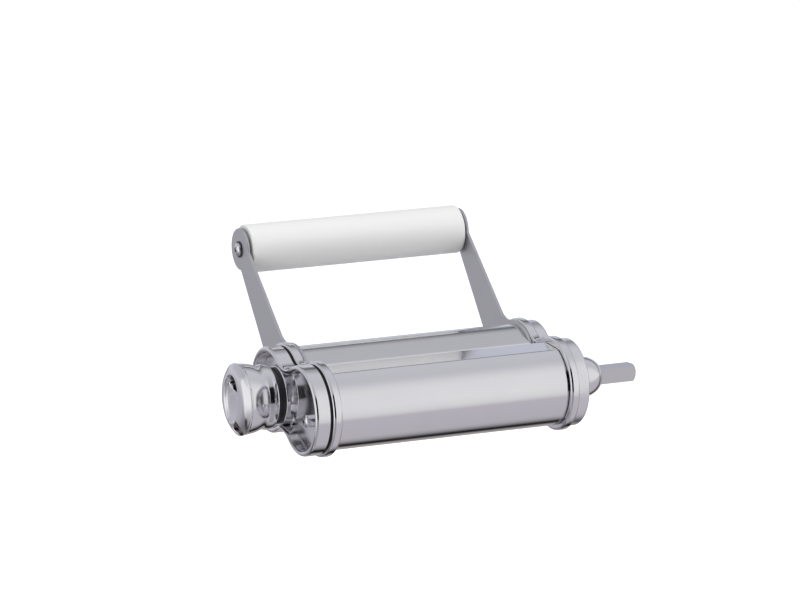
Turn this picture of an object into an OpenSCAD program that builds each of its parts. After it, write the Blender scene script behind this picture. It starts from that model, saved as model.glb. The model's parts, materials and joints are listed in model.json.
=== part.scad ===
// Pasta sheet roller for a power outlet: two steel rollers in a polished
// two-lobed housing, a pull-and-turn thickness knob on the left, a drive
// nose and square shank on the right, and a swinging pair of arms that
// carry a free-running support roller for the sheet.
// Millimetres. +X runs along the rollers towards the drive, +Y is the rear,
// +Z is up. The origin is the centre of the seat face of the drive nose.

/* [Rollers] */
// Diameter of the two pressing rollers
roller_d = 27.6; // [26.4:0.1:28]
// Length of the pressing rollers
roller_len = 145.6; // [110:0.2:180]
// Gap between the rollers at the thinnest setting
nip_min = 0.4; // [0.2:0.1:0.8]
// How far the rear roller moves back at the thickest setting
nip_travel = 2.4; // [1:0.1:2.8]
// Radius of the drive roller's journals and shaft
drive_shaft_r = 7; // [6:0.1:7.4]
// Radius of the adjustable roller's journals
adjust_shaft_r = 6; // [5:0.1:6.4]
// Radius of the chamfer step on the roller ends
roller_edge = 0.8; // [0.2:0.1:1.5]

/* [Housing] */
// Outer radius of the front lobe of the side frames
lobe_front_r = 28.7; // [28:0.1:30]
// Outer radius of the rear lobe of the side frames
lobe_rear_r = 27.6; // [27.4:0.1:29]
// Distance between the centres of the two lobes
lobe_pitch = 46.2; // [45.6:0.1:47]
// How far the drive axis lies behind the centre of the front lobe
drive_offset = 6; // [5.6:0.1:6.4]
// Radius of the hollow where the two lobes meet
waist_fillet = 14; // [12:0.5:18]
// Thickness of each side frame
frame_t = 6; // [5:0.5:8]
// Sheet thickness of the front and rear covers
cover_t = 1.2; // [0.8:0.1:1.4]
// Outer radius of the front cover
cover_front_r = 26.8; // [26.6:0.1:27.4]
// Outer radius of the rear cover
cover_rear_r = 24.4; // [24.2:0.1:24.8]
// Height of the front cover's flat top above the drive axis
cover_top_z = 22.7; // [22.2:0.1:23.6]
// Rear edge of the front cover's flat top, behind the drive axis
feed_lip_y = 3; // [2:0.1:4]
// Front edge of the rear cover's sloping feed table
feed_table_y = 19.4; // [18.8:0.1:20]

/* [End caps] */
// Thickness of the dark gasket between side frame and cap
gasket_t = 1.6; // [1:0.1:2]
// How far the gasket is set in from the side frame's outline
gasket_inset = 2.2; // [1.6:0.1:3]
// Depth of the left end cap
left_cap_depth = 9.1; // [9:0.1:12]
// Depth of the right end cap
right_cap_depth = 6.1; // [6:0.1:9]
// How far the caps are set in from the side frame's outline
cap_inset = 0.7; // [0.3:0.1:1.2]
// How far the right cap is set in from the side frame's outline
right_cap_inset = 2; // [0.3:0.1:2.2]
// Wall thickness of the caps
cap_wall = 1.8; // [1.5:0.1:2.2]
// Width of the raised rim round the left cap's face
cap_rim = 2.6; // [2.2:0.1:3.4]
// Depth of the sunk face inside the left cap's rim
cap_sink = 3.7; // [2.5:0.1:3.7]
// Radius of the neck that carries the knob
neck_r = 17.8; // [16:0.1:18.4]
// Head radius of the cap screws
cap_screw_head_r = 4; // [3:0.1:4.2]
// Head height of the cap screws
cap_screw_head_h = 2; // [1.5:0.1:2.4]

/* [Drive nose] */
// Radius of the drive nose that enters the power outlet
nose_r = 12.5; // [11:0.1:14]
// Straight length of the drive nose
nose_len = 14; // [10:0.5:20]
// Rounding length at the end of the drive nose
nose_round = 5; // [3:0.1:5.2]
// Radius of the seat collar
collar_r = 17; // [16.6:0.1:19]
// Thickness of the seat collar
collar_t = 2; // [1.5:0.1:3]
// Radius of the locating pin on the collar
locating_pin_r = 1.2; // [0.8:0.1:1.4]
// Height of the locating pin above the collar
locating_pin_h = 4; // [2:0.5:6]
// Distance of the locating pin from the drive axis
locating_pin_ring = 15.2; // [14.8:0.1:15.4]
// Width across the flats of the square shank
shank_w = 9.5; // [7:0.1:9.6]
// Length of the square shank
shank_len = 24; // [15:0.5:30]

/* [Thickness knob] */
// Number of thickness settings
settings = 8; // [4:1:8]
// Turn of the knob between two settings, in degrees
setting_step = 36; // [20:1:36]
// Radius of the knob's rim
knob_rim_r = 22; // [20.5:0.1:24]
// Radius of the knob's waist
knob_waist_r = 19.2; // [18:0.1:20]
// Radius of the rounded bead at the knob's inner end
knob_bead_r = 19.4; // [18.6:0.1:19.8]
// Length of the knob
knob_len = 22.8; // [22:0.1:26]
// Depth of the rounding between the knob's rim and its face
knob_dome = 3.5; // [2:0.1:4.5]
// How far the knob pulls out to be turned
knob_pull = 3.5; // [2:0.1:3.6]
// Length of the dark index ring between neck and knob
index_ring_len = 5; // [3:0.1:7]
// Radius of the dark index ring
index_ring_r = 16.6; // [15:0.1:17.2]
// Depth of the two finger pockets in the knob's face
pocket_depth = 7; // [3:0.1:8]
// Radius of the finger pockets
pocket_r = 9.5; // [8:0.1:10]
// Width across the flats of the knob shaft's hexagon
knob_hex = 8; // [6:0.1:8.2]

/* [Support arms] */
// Distance from the arm's pivot to the support roller's axis
arm_len = 106.8; // [90:0.1:130]
// Angle of the arms above the rear horizontal
arm_angle = 36.6; // [30:0.1:60]
// Thickness of each arm
arm_t = 1.8; // [1.2:0.1:2]
// Radius of the round head of each arm
arm_head_r = 13; // [11:0.1:15]
// Half width of the arm next to its head
arm_half_head = 8.2; // [7:0.1:10]
// Distance from the arm's line to its front flank, next to the pivot
arm_half_root = 8.8; // [8.4:0.1:14]
// Distance from the arm's line to its rear flank, next to the pivot
arm_back_root = 21.6; // [14:0.1:21.8]
// Radius of the fillets between arm and pivot ring
arm_fillet = 14; // [8:0.5:20]
// Outer radius of the arm's pivot ring
arm_ring_r = 26.9; // [26:0.1:27.2]
// Radius of the support roller
support_roller_r = 15; // [12:0.1:16]
// Wall thickness of the support roller's tube
support_wall = 2.4; // [1.5:0.1:3]
// Length of the support roller's tube
support_len = 143; // [108:0.2:178]
// Space between each end of the support roller's tube and the arm's seat
support_gap = 1.5; // [1:0.1:3]
// Radius of the support axle
support_axle_r = 3; // [2.5:0.1:4]
// Head radius of the arm screws
arm_screw_head_r = 4.2; // [3:0.1:4.8]

/* [Clearances] */
// Radial clearance of every running fit
run_fit = 0.05; // [0.02:0.01:0.09]
// Clearance between the sliding blocks and their windows
slide_fit = 0.06; // [0.03:0.01:0.09]
// End play of the rollers and arms
end_play = 0.2; // [0.1:0.05:0.3]
// Clearance between the scrapers and the rollers
scraper_gap = 0.5; // [0.3:0.1:0.8]

/* [Hidden] */
$fn = 96;
gear_teeth = 14;
roller_r = roller_d / 2;
pitch_y = roller_d + nip_min;               // rear roller's axis at rest
front_y = -drive_offset;                    // centre of the front lobe
rear_y = lobe_pitch - drive_offset;         // centre of the rear lobe
roller_half = roller_len / 2;
arm_slot = arm_t + end_play;                // space for an arm beside a frame
xb = max(roller_half + end_play, support_len / 2 + support_gap); // face of the pivot boss
xi = xb + arm_slot;                         // inner face of a side frame
xo = xi + frame_t;                          // outer face of a side frame
xg = xo + gasket_t;                         // outer face of a gasket
xl = xg + left_cap_depth;                   // rim of the left cap
xr = xg + right_cap_depth;                  // face of the right cap
x_seat = xr + collar_t;                     // seat face of the drive nose
xf = xl - cap_sink;                         // sunk face of the left cap
nose_end = x_seat + nose_len + nose_round;  // end of the nose, start of the square shank
clip_x = xo + 0.3;                          // retaining clip on the drive shaft
clip_t = 1;
clip_groove = 0.8;
cap_r1 = lobe_front_r - cap_inset;
cap_r2 = lobe_rear_r - cap_inset;
cap_rf = waist_fillet + cap_inset;
right_r1 = lobe_front_r - right_cap_inset;
right_r2 = lobe_rear_r - right_cap_inset;
right_rf = waist_fillet + right_cap_inset;
table_angle = 109;                          // where the feed table leaves the rear cover's round
boss_r = 20;                                // pivot boss of the arms
seat_len = 4;                               // depth of the front cover's seat
seat_clear = 0.5;                           // clearance of the seat to the rollers and arms
retainer_t = 1.6;
block_front = 10;                           // reach of a bearing block in front of the roller's axis
block_rear = 23;                            // and behind it
block_y0 = pitch_y - block_front;
block_y1 = pitch_y + block_rear;
block_hz = 12;                              // half height of a bearing block
block_lip = 1.5;                            // how far its flange laps the side frame
block_lip_t = 0.9;
bar_back = 20;                              // from the roller's axis to the carriage bar
bar_y = pitch_y + bar_back;
bar_r = 2.5;
bar_seat = 4;                               // depth of the bar's seats in the blocks
rod_r = 4;
rod_screw_r = 2;
rod_screw_head_r = 3.4;
rod_screw_len = 8;                          // length of its thread in a rod
rod_front = 16;                             // from the front lobe's centre to the front rod
rod_back = 17.4;                            // from the rear lobe's centre to the rear rod
rod_front_y = front_y - rod_front;
rod_rear_y = rear_y + rod_back;
foot_reach = 2.3;                           // front cover's lower edge, behind its feed lip
rear_foot = 16.2;                           // rear cover's lower edge, in front of its centre
scraper_w = 5;                              // width of the front scraper in front of the drive axis
scraper_lip = 1.8;                          // height of a scraper's lip over its edge
gasket_w = 3.6;                             // width of a gasket
bush_r = 8.5;
bush_flange = 2;
scroll_r0 = 8.5;                            // follower pin's radius at rest
pin_r = 2;                                  // follower pin
scroll_r = 14;
scroll_turn = (settings - 1) * setting_step;
knob_bush_r = 7;
knob_shaft_r = 5;
gear_t = 4.4;
gear_root = 2.5;                            // depth of the teeth inside the pitch circle
gear_tip = 1.9;                             // and their height outside it
gear_x1 = xr - cap_wall - 0.3;              // outer face of the gears
xs0 = xo + 1.3;                             // scroll plate, inner face
xs1 = xs0 + 3;                              // scroll plate, outer face
xk = xl + index_ring_len + 0.3;             // inner end of the knob
xkf = xk + knob_len;                        // rim of the knob
hex0 = xk + 3;                              // start of the hexagon
shoulder = xk + 6;                          // spring seat inside the knob
hex1 = xk + 13.5;                           // end of the knob shaft
plug_depth = 8;                             // depth of the support roller's plugs
plug_inset = 0.4;
plug_wall = 2.5;
head_y = rear_y + arm_len * cos(arm_angle);
head_z = arm_len * sin(arm_angle);
spring_r = 5.5;
spring_wire = 0.45;
spring_rings = 5;
spring_space_r = 6.6;                       // hollow round the spring
face_r = knob_rim_r - 3.5;                  // the knob's dished face
face_sink = 1.8;
washer_t = 0.8;
knob_screw_len = 7;
screw_r = 1.5;                              // thread of the cap screws and the knob screw
left_screws = [[-10.3, -5.3], [rear_y + 16.3, -11.5]];
right_screws = [[rear_y + 16.3, -11.5], [rear_y + 16.3, 11.5]];
post_r = 2.8;

chrome = [0.86, 0.87, 0.88];
steel = [0.66, 0.66, 0.68];
dark = [0.05, 0.05, 0.06];
white = [0.93, 0.93, 0.91];
brass = [0.80, 0.66, 0.36];

// Puts the machine's mid-plane frame into the part's frame.
module place() translate([-x_seat, 0, 0]) children();
// Extrudes a Y-Z outline from x0 to x1.
module yz(x0, x1) translate([x0, 0, 0]) rotate([90, 0, 90]) linear_extrude(x1 - x0) children();
// Cylinder along X.
module xcyl(x0, x1, r, y = 0, z = 0) translate([x0, y, z]) rotate([0, 90, 0]) cylinder(r = r, h = x1 - x0);
// Hexagon prism along X about the knob's axis; r is half its width across the flats.
module xhex(x0, x1, r) translate([x0, pitch_y, 0]) rotate([0, 90, 0])
    cylinder(r = r * 2 / sqrt(3), h = x1 - x0, $fn = 6);
// Solid of revolution about an axis along X; profile in [radius, x].
module xrev(y = 0, z = 0) translate([0, y, z]) rotate([0, 90, 0]) rotate_extrude() children();
// Slot with round ends, running along Y.
module slot(y0, y1, r) {
    translate([y0, 0]) circle(r);
    translate([y1, 0]) circle(r);
    translate([y0, -r]) square([y1 - y0, 2 * r]);
}
// Two round lobes joined by a hollow waist, from x0 to x1.
module lobes(x0, x1, r1, r2, rf) {
    t = (pow(r1 + rf, 2) - pow(r2 + rf, 2) + pow(lobe_pitch, 2)) / (2 * lobe_pitch);
    h = sqrt(pow(r1 + rf, 2) - t * t);
    difference() {
        union() {
            xcyl(x0, x1, r1, front_y);
            xcyl(x0, x1, r2, rear_y);
            yz(x0, x1) polygon([[front_y, 0], [front_y + t, h], [rear_y, 0], [front_y + t, -h]]);
        }
        for (s = [-1, 1]) xcyl(x0 - 1, x1 + 1, rf + 0.01, front_y + t, s * h);
    }
}
// Screw along +X: head from x0 outwards, shank inwards to x1, cross recess.
module pan_screw(x0, x1, y, z, hr, hh, sr) {
    difference() {
        union() {
            xcyl(x1, x0 + hh / 5, sr, y, z);
            xrev(y, z) polygon([[0, x0], [hr, x0], [hr, x0 + hh * 0.45], [hr * 0.9, x0 + hh * 0.78],
                                [hr * 0.68, x0 + hh], [0, x0 + hh]]);
        }
        for (a = [0, 90]) translate([x0 + hh, y, z]) rotate([a + 20, 0, 0])
            cube([hh * 1.1, hr * 0.32, hr * 1.25], center = true);
    }
}

// ---------- side frames ----------
module side_frame(screws) {
    difference() {
        union() {
            lobes(xi, xo, lobe_front_r, lobe_rear_r, waist_fillet);
            xcyl(xb, xi, boss_r, rear_y);
            yz(xi - seat_len, xi) difference() {
                front_lobe2d(cover_front_r - cover_t, cover_top_z - cover_t);
                translate([rear_y, 0]) circle(arm_ring_r + seat_clear);
                circle(roller_r + seat_clear);
                translate([0, -roller_r / 2]) square(lobe_front_r * 2);
            }
        }
        xcyl(xi - 9, xo + 1, bush_r);
        translate([xi - 0.001, block_y0 - slide_fit, -block_hz - slide_fit])
            cube([frame_t + 1, block_y1 - block_y0 + nip_travel + 4 * slide_fit, 2 * (block_hz + slide_fit)]);
        yz(xb - 1, xi + 1) slot(pitch_y, pitch_y + nip_travel, adjust_shaft_r + 0.5);
        yz(xb - 1, xi + 1) slot(bar_y, bar_y + nip_travel, bar_r + 0.5);
        for (y = [rod_front_y, rod_rear_y]) xcyl(xb - seat_len - 1, xo + 1, rod_screw_r, y);
        for (p = screws) xcyl(xi + 1, xo + 1, screw_r, p[0], p[1]);
    }
}
module right_side_frame() color(chrome) place() side_frame(right_screws);
module left_side_frame() color(chrome) place() mirror([1, 0, 0]) side_frame(left_screws);

// Plates that trap the arm rings and seat the rear cover.
module arm_retainer() yz(xb - retainer_t, xb) difference() {
    translate([rear_y, 0]) circle(cover_rear_r - cover_t);
    slot(pitch_y - 20, pitch_y + nip_travel, roller_r + 0.5);
    slot(bar_y, bar_y + nip_travel, bar_r + 0.5);
    translate([rod_rear_y, 0]) circle(rod_screw_r);
}
module right_arm_retainer() color(steel) place() arm_retainer();
module left_arm_retainer() color(steel) place() mirror([1, 0, 0]) arm_retainer();

// ---------- covers ----------
// A point clear of a roller at the origin by g, at angle a in the Y-Z plane.
function by_roller(a, g) = [(roller_r + g) * cos(a), (roller_r + g) * sin(a)];
// The front lobe of radius r below height z, back to y = w.
module front_lobe2d(r, z, w = 120) intersection() {
    translate([front_y, 0]) circle(r);
    translate([-120, -120]) square([120 + w, 120 + z]);
}
module front_cover() color(chrome) place() union() {
    yz(-xb, xb) difference() {
        front_lobe2d(cover_front_r, cover_top_z);
        front_lobe2d(cover_front_r - cover_t, cover_top_z - cover_t);
        translate([feed_lip_y, 0]) square(lobe_front_r * 2);
        translate([feed_lip_y + foot_reach, -lobe_front_r * 2]) square(lobe_front_r * 2 + 1);
    }
    yz(-xb, xb) polygon([[feed_lip_y - cover_t, cover_top_z - cover_t / 4], [feed_lip_y, cover_top_z],
                         by_roller(57.6, 1.25 * cover_t), by_roller(61, cover_t / 2),
                         [feed_lip_y - cover_t, cover_top_z - 1.5 * cover_t]]);
}
module rear_cover() {
    r = cover_rear_r;
    q = r - cover_t;
    c = cos(table_angle);
    k = (rear_y + r * c - feed_table_y) / sin(table_angle);
    lip_z = r * sin(table_angle) + k * c;
    color(chrome) place() union() {
        yz(-xb + end_play / 2, xb - end_play / 2) difference() {
            translate([rear_y, 0]) circle(r);
            translate([rear_y, 0]) circle(q);
            polygon([[-120, 0], [rear_y, 0], [rear_y + 120 * c, 120 * sin(table_angle)], [-120, 120]]);
            translate([-120, -120]) square([120 + rear_y - rear_foot, 120.01]);
        }
        yz(-xb + end_play / 2, xb - end_play / 2) polygon([
            [rear_y + r * c + cover_t / 4, r * sin(table_angle) - 0.05], [feed_table_y, lip_z],
            [pitch_y, 0] + by_roller(127, 1.25 * cover_t), [pitch_y, 0] + by_roller(123.5, cover_t / 2),
            [feed_table_y + cover_t, lip_z - 0.8 * cover_t],
            [rear_y + q * c + cover_t / 4, q * sin(table_angle) + 0.1]]);
    }
}

// ---------- scrapers under the rollers ----------
// A wedge from under a roller down to the cover: w behind its edge, reach in front.
module scraper_wedge(w, shelf, reach) {
    top = -roller_r - scraper_gap;
    polygon([[reach, -roller_r + scraper_lip / 2], [reach, -lobe_front_r], [-w, -lobe_front_r],
             [-w, top - shelf], [-w / 5, top - scraper_lip / 2]]);
}
scraper_half = xi - seat_len - end_play;
module front_scraper() color(dark) place() yz(-scraper_half, scraper_half) difference() {
    intersection() {
        scraper_wedge(scraper_w, rod_r * 0.75, feed_lip_y + foot_reach);
        translate([front_y, 0]) circle(cover_front_r - cover_t);
    }
    circle(roller_r + scraper_gap);
}
module rear_scraper() color(dark) place() yz(-scraper_half, scraper_half) difference() {
    intersection() {
        translate([pitch_y, 0]) mirror([1, 0])
            scraper_wedge(scraper_w + 3, scraper_lip / 2, pitch_y - rear_y + rear_foot);
        translate([rear_y, 0]) circle(cover_rear_r - cover_t);
    }
    circle(roller_r + scraper_gap);
    slot(pitch_y, pitch_y + nip_travel, roller_r + scraper_gap);
}

// ---------- tie rods ----------
// A rod between x = -h and h, tapped at both ends.
module rod(h, y) difference() {
    xcyl(-h, h, rod_r, y);
    for (x = [-h - 1, h - rod_screw_len]) xcyl(x, x + rod_screw_len + 1, rod_screw_r, y);
}
module tie_rods() color(steel) place() {
    rod(xi - seat_len, rod_front_y);
    rod(xb - retainer_t, rod_rear_y);
}
module rod_screw_pair() for (y = [rod_front_y, rod_rear_y])
    pan_screw(xo, xi - seat_len - rod_screw_len + 2, y, 0, rod_screw_head_r, 1.4, rod_screw_r);
module right_rod_screws() color(steel) place() rod_screw_pair();
module left_rod_screws() color(steel) place() mirror([1, 0, 0]) rod_screw_pair();

// ---------- bushes of the drive roller ----------
module drive_bush() difference() {
    union() {
        xcyl(xi, xo, bush_r);
        xcyl(roller_half + end_play / 2, xi, bush_r + bush_flange);
    }
    xcyl(roller_half, xo + 1, drive_shaft_r + run_fit);
}
module right_drive_bush() color(brass) place() drive_bush();
module left_drive_bush() color(brass) place() mirror([1, 0, 0]) drive_bush();

// ---------- gaskets and caps ----------
module gasket(screws) difference() {
    lobes(xo, xg, lobe_front_r - gasket_inset, lobe_rear_r - gasket_inset, waist_fillet + gasket_inset);
    lobes(xo - 1, xg + 1, lobe_front_r - gasket_inset - gasket_w, lobe_rear_r - gasket_inset - gasket_w,
          waist_fillet + gasket_inset + gasket_w);
    for (p = screws) xcyl(xo - 1, xg + 1, post_r, p[0], p[1]);
}
module right_gasket() color(dark) place() gasket(right_screws);
module left_gasket() color(dark) place() mirror([1, 0, 0]) gasket(left_screws);

// Posts inside a cap, through which its screws pass.
module cap_posts(screws, x1) for (p = screws) xcyl(xo, x1, post_r, p[0], p[1]);
module cap_holes(screws, x1) for (p = screws) xcyl(xo - 1, x1, screw_r, p[0], p[1]);

module left_end_cap() color(chrome) place() mirror([1, 0, 0]) difference() {
    union() {
        difference() {
            lobes(xg, xl, cap_r1, cap_r2, cap_rf);
            lobes(xg - 1, xf - cap_wall, cap_r1 - cap_wall, cap_r2 - cap_wall, cap_rf + cap_wall);
            difference() {
                lobes(xf, xl + 1, cap_r1 - cap_rim, cap_r2 - cap_rim, cap_rf + cap_rim);
                xcyl(xf - 1, xl + 2, neck_r, pitch_y);
            }
        }
        cap_posts(left_screws, xf - cap_wall + 0.5);
    }
    cap_holes(left_screws, xl + 1);
    xcyl(xg - 1, xl + 1, knob_bush_r, pitch_y);
}
module right_end_cap() color(chrome) place() difference() {
    union() {
        difference() {
            lobes(xg, xr, right_r1, right_r2, right_rf);
            lobes(xg - 1, xr - cap_wall, right_r1 - cap_wall, right_r2 - cap_wall, right_rf + cap_wall);
        }
        cap_posts(right_screws, xr - cap_wall + 0.5);
    }
    cap_holes(right_screws, xr + 1);
    xcyl(xr - 5, xr + 1, drive_shaft_r + 0.4);
}

// Two screws hold the left cap.
module left_cap_screws() color(chrome) place() mirror([1, 0, 0])
    for (p = left_screws) pan_screw(xf, xi + 1, p[0], p[1], cap_screw_head_r, cap_screw_head_h, screw_r);
module right_cap_screws() color(chrome) place()
    for (p = right_screws) pan_screw(xr, xi + 1, p[0], p[1], cap_screw_head_r, cap_screw_head_h, screw_r);

// ---------- drive nose ----------
module drive_nose() color(chrome) place() difference() {
    xrev() {
        difference() {
            union() {
                translate([0, xr]) square([collar_r, collar_t]);
                translate([0, xr]) square([nose_r, collar_t + nose_len]);
                translate([0, x_seat + nose_len]) square([nose_r - nose_round, nose_round]);
                intersection() {
                    translate([nose_r - nose_round, x_seat + nose_len]) circle(nose_round);
                    translate([nose_r - nose_round, x_seat + nose_len]) square(nose_round);
                }
            }
            square([drive_shaft_r + run_fit, 2 * x_seat]);
        }
    }
    xcyl(xr - 1, x_seat + 1, locating_pin_r, 0, locating_pin_ring);
}
module locating_pin() color(steel) place()
    xcyl(xr, x_seat + locating_pin_h, locating_pin_r, 0, locating_pin_ring);

// ---------- drive roller ----------
// Body of a pressing roller about the axis at y, chamfered at both ends.
module roller_body(y) xrev(y) polygon([
    [0, -roller_half], [roller_r - roller_edge, -roller_half], [roller_r, -roller_half + roller_edge],
    [roller_r, roller_half - roller_edge], [roller_r - roller_edge, roller_half], [0, roller_half]]);
module drive_roller() color(steel) place() difference() {
    union() {
        roller_body(0);
        xcyl(-clip_x - clip_t - 1, nose_end, drive_shaft_r);
        intersection() {
            translate([nose_end - 1, -shank_w / 2, -shank_w / 2]) cube([shank_len + 1, shank_w, shank_w]);
            xrev() polygon([[0, 0], [shank_w, 0], [shank_w, nose_end + shank_len - shank_w * 0.4],
                            [shank_w * 0.52, nose_end + shank_len], [0, nose_end + shank_len]]);
        }
    }
    difference() {
        xcyl(-clip_x - clip_t, -clip_x, drive_shaft_r + 1);
        xcyl(-clip_x - clip_t - 1, -clip_x + 1, drive_shaft_r - clip_groove);
    }
}
module retaining_clip() color(dark) place() difference() {
    xcyl(-clip_x - clip_t, -clip_x, drive_shaft_r + clip_groove + 0.6);
    xcyl(-clip_x - clip_t - 1, -clip_x + 1, drive_shaft_r - clip_groove);
    translate([-clip_x - clip_t - 1, -3, 0]) cube([clip_t + 2, 6, 3 * drive_shaft_r]);
}

// ---------- gears ----------
// Straight-sided teeth: root and tip corners of each, as [angle, height over the pitch circle].
module gear2d(phase) {
    tooth = [[-10.2, -gear_root], [-2.1, gear_tip], [2.1, gear_tip], [10.2, -gear_root]];
    polygon([for (i = [0 : gear_teeth - 1], c = tooth)
        let (a = phase + i * 360 / gear_teeth + c[0], r = pitch_y / 2 + c[1]) [r * cos(a), r * sin(a)]]);
}
module drive_gear() color(steel) place() difference() {
    yz(gear_x1 - gear_t, gear_x1) gear2d(0);
    xcyl(xo, xr, drive_shaft_r);
}
module driven_gear() color(steel) place() difference() {
    yz(gear_x1 - gear_t, gear_x1) translate([pitch_y, 0]) gear2d(180 / gear_teeth + 180);
    xcyl(xo, xr, adjust_shaft_r, pitch_y);
}

// ---------- adjustable roller and its carriage ----------
module adjustable_roller() color(steel) place() union() {
    roller_body(pitch_y);
    xcyl(-xo - 0.8, gear_x1, adjust_shaft_r, pitch_y);
}
module bearing_block() difference() {
    union() {
        translate([xi + end_play / 2, block_y0, -block_hz])
            cube([frame_t - end_play / 2, block_y1 - block_y0, 2 * block_hz]);
        translate([xo + slide_fit, block_y0 + block_lip, -block_hz - block_lip])
            cube([block_lip_t, block_y1 - block_y0 - 2 * block_lip, 2 * (block_hz + block_lip)]);
        translate([xo - slide_fit, block_y0 + block_lip, -block_hz])
            cube([3 * slide_fit, block_y1 - block_y0 - 2 * block_lip, 2 * block_hz]);
    }
    xcyl(xi - 1, xg + 1, adjust_shaft_r + run_fit, pitch_y);
    xcyl(xi - 1, xi + bar_seat, bar_r, bar_y);
}
module right_bearing_block() color(brass) place() bearing_block();
module left_bearing_block() color(brass) place() mirror([1, 0, 0]) difference() {
    bearing_block();
    xcyl(xo - 3, xg, pin_r, pitch_y + scroll_r0);
}
module carriage_bar() color(steel) place() xcyl(-xi - bar_seat, xi + bar_seat, bar_r, bar_y);
module follower_pin() color(steel) place() xcyl(-xs1 + 0.2, -xo + 3, pin_r, pitch_y + scroll_r0);

// ---------- thickness scroll ----------
// Spiral slot: its radius grows evenly with the turn.
function scroll_pt(t, off) =
    let (r = scroll_r0 + nip_travel * t / scroll_turn + off) [r * cos(-t), r * sin(-t)];
module scroll_slot() {
    n = 96;
    polygon(concat([for (i = [0 : n]) scroll_pt(scroll_turn * i / n, pin_r + run_fit)],
                   [for (i = [n : -1 : 0]) scroll_pt(scroll_turn * i / n, -pin_r - run_fit)]));
    for (t = [0, scroll_turn]) translate(scroll_pt(t, 0)) circle(pin_r + run_fit);
}
module scroll_shaft() color(steel) place() difference() {
    union() {
        xcyl(-xs1, -xs0, scroll_r, pitch_y);
        xcyl(-hex0, -xs1 + 0.5, knob_shaft_r, pitch_y);
        xhex(-hex1, -hex0 + 1, knob_hex / 2);
    }
    yz(-xs1 - 1, -xs0 + 1) translate([pitch_y, 0]) scroll_slot();
    xcyl(-hex1 - 1, -hex1 + knob_screw_len, screw_r, pitch_y);
}
module knob_bush() color(brass) place() mirror([1, 0, 0]) difference() {
    xcyl(xf - cap_wall, xl, knob_bush_r, pitch_y);
    xcyl(xf - 5, xl + 1, knob_shaft_r + run_fit, pitch_y);
}
module index_ring() color(dark) place() mirror([1, 0, 0]) difference() {
    xcyl(xl, xl + index_ring_len, index_ring_r, pitch_y);
    xcyl(xl - 1, xl + index_ring_len + 1, knob_shaft_r + 0.6, pitch_y);
}

// ---------- knob ----------
// Outline of the knob in [radius, x]: bead, waist, flare, domed rim, sunk face, spring space.
module knob_profile() {
    flare = knob_rim_r - knob_waist_r;
    rim = xkf - knob_dome;                  // the widest place
    neck = xk + 5;                          // the narrowest
    span = rim - neck;
    polygon([
        [knob_shaft_r + run_fit, xk], [knob_bead_r - 0.9, xk], [knob_bead_r - 0.3, xk + 0.35],
        [knob_bead_r, xk + 1.2], [knob_bead_r, xk + 2.4], [knob_waist_r, neck],
        [knob_waist_r + flare * 0.12, neck + span * 0.14], [knob_waist_r + flare * 0.48, neck + span * 0.38],
        [knob_waist_r + flare * 0.76, neck + span * 0.62], [knob_waist_r + flare * 0.88, rim - 1.2],
        [knob_rim_r, rim], [knob_rim_r - 0.4, rim + knob_dome * 0.36], [knob_rim_r - 1.4, rim + knob_dome * 0.7],
        [knob_rim_r - 2.9, rim + knob_dome * 0.96], [face_r + 0.1, xkf], [face_r, xkf - face_sink],
        [spring_space_r, xkf - face_sink], [spring_space_r, shoulder], [knob_shaft_r + run_fit, shoulder]]);
}
// Two finger pockets, above and below the knob's centre, ending at radius r.
module pockets(x0, x1, r) yz(x0, x1) translate([pitch_y, 0]) intersection() {
    circle(r);
    for (s = [-1, 1]) translate([0, s * (knob_rim_r - 2)]) circle(pocket_r);
}
module thickness_knob() color(chrome) place() mirror([1, 0, 0]) difference() {
    union() {
        xrev(pitch_y) knob_profile();
        difference() {
            xcyl(hex0, shoulder, knob_shaft_r + 1, pitch_y);
            xhex(hex0 - 1, shoulder + 1, knob_hex / 2 + slide_fit);
        }
    }
    pockets(xkf - face_sink - pocket_depth, xkf + 1, face_r);
}
module knob_face() color(chrome) place() mirror([1, 0, 0]) difference() {
    xcyl(xkf - face_sink, xkf - 0.5, face_r, pitch_y);
    pockets(xkf - 5, xkf + 1, face_r + 1);
}
module knob_washer() color(steel) place() mirror([1, 0, 0]) difference() {
    xcyl(hex1, hex1 + washer_t, spring_space_r - 0.4, pitch_y);
    xcyl(hex1 - 1, hex1 + 2, screw_r, pitch_y);
}
module knob_screw() color(steel) place() mirror([1, 0, 0])
    pan_screw(hex1 + washer_t, hex1 - knob_screw_len + 0.5, pitch_y, 0, 3.2, 1.4, screw_r);
// Return spring of the knob: coils between its shoulder and the washer.
module knob_spring() color(steel) place() mirror([1, 0, 0]) {
    step = (hex1 - shoulder - 2 * spring_wire) / (spring_rings - 1);
    for (i = [0 : spring_rings - 1])
        xrev(pitch_y) translate([spring_r, shoulder + spring_wire + step * i]) circle(spring_wire, $fn = 24);
    for (i = [0 : spring_rings - 2])
        translate([shoulder + spring_wire + step * i, pitch_y, 0]) rotate([i * 90, 0, 0])
            translate([0, spring_r, 0]) rotate([0, 90, 0]) cylinder(r = spring_wire * 0.8, h = step, $fn = 24);
}

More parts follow.
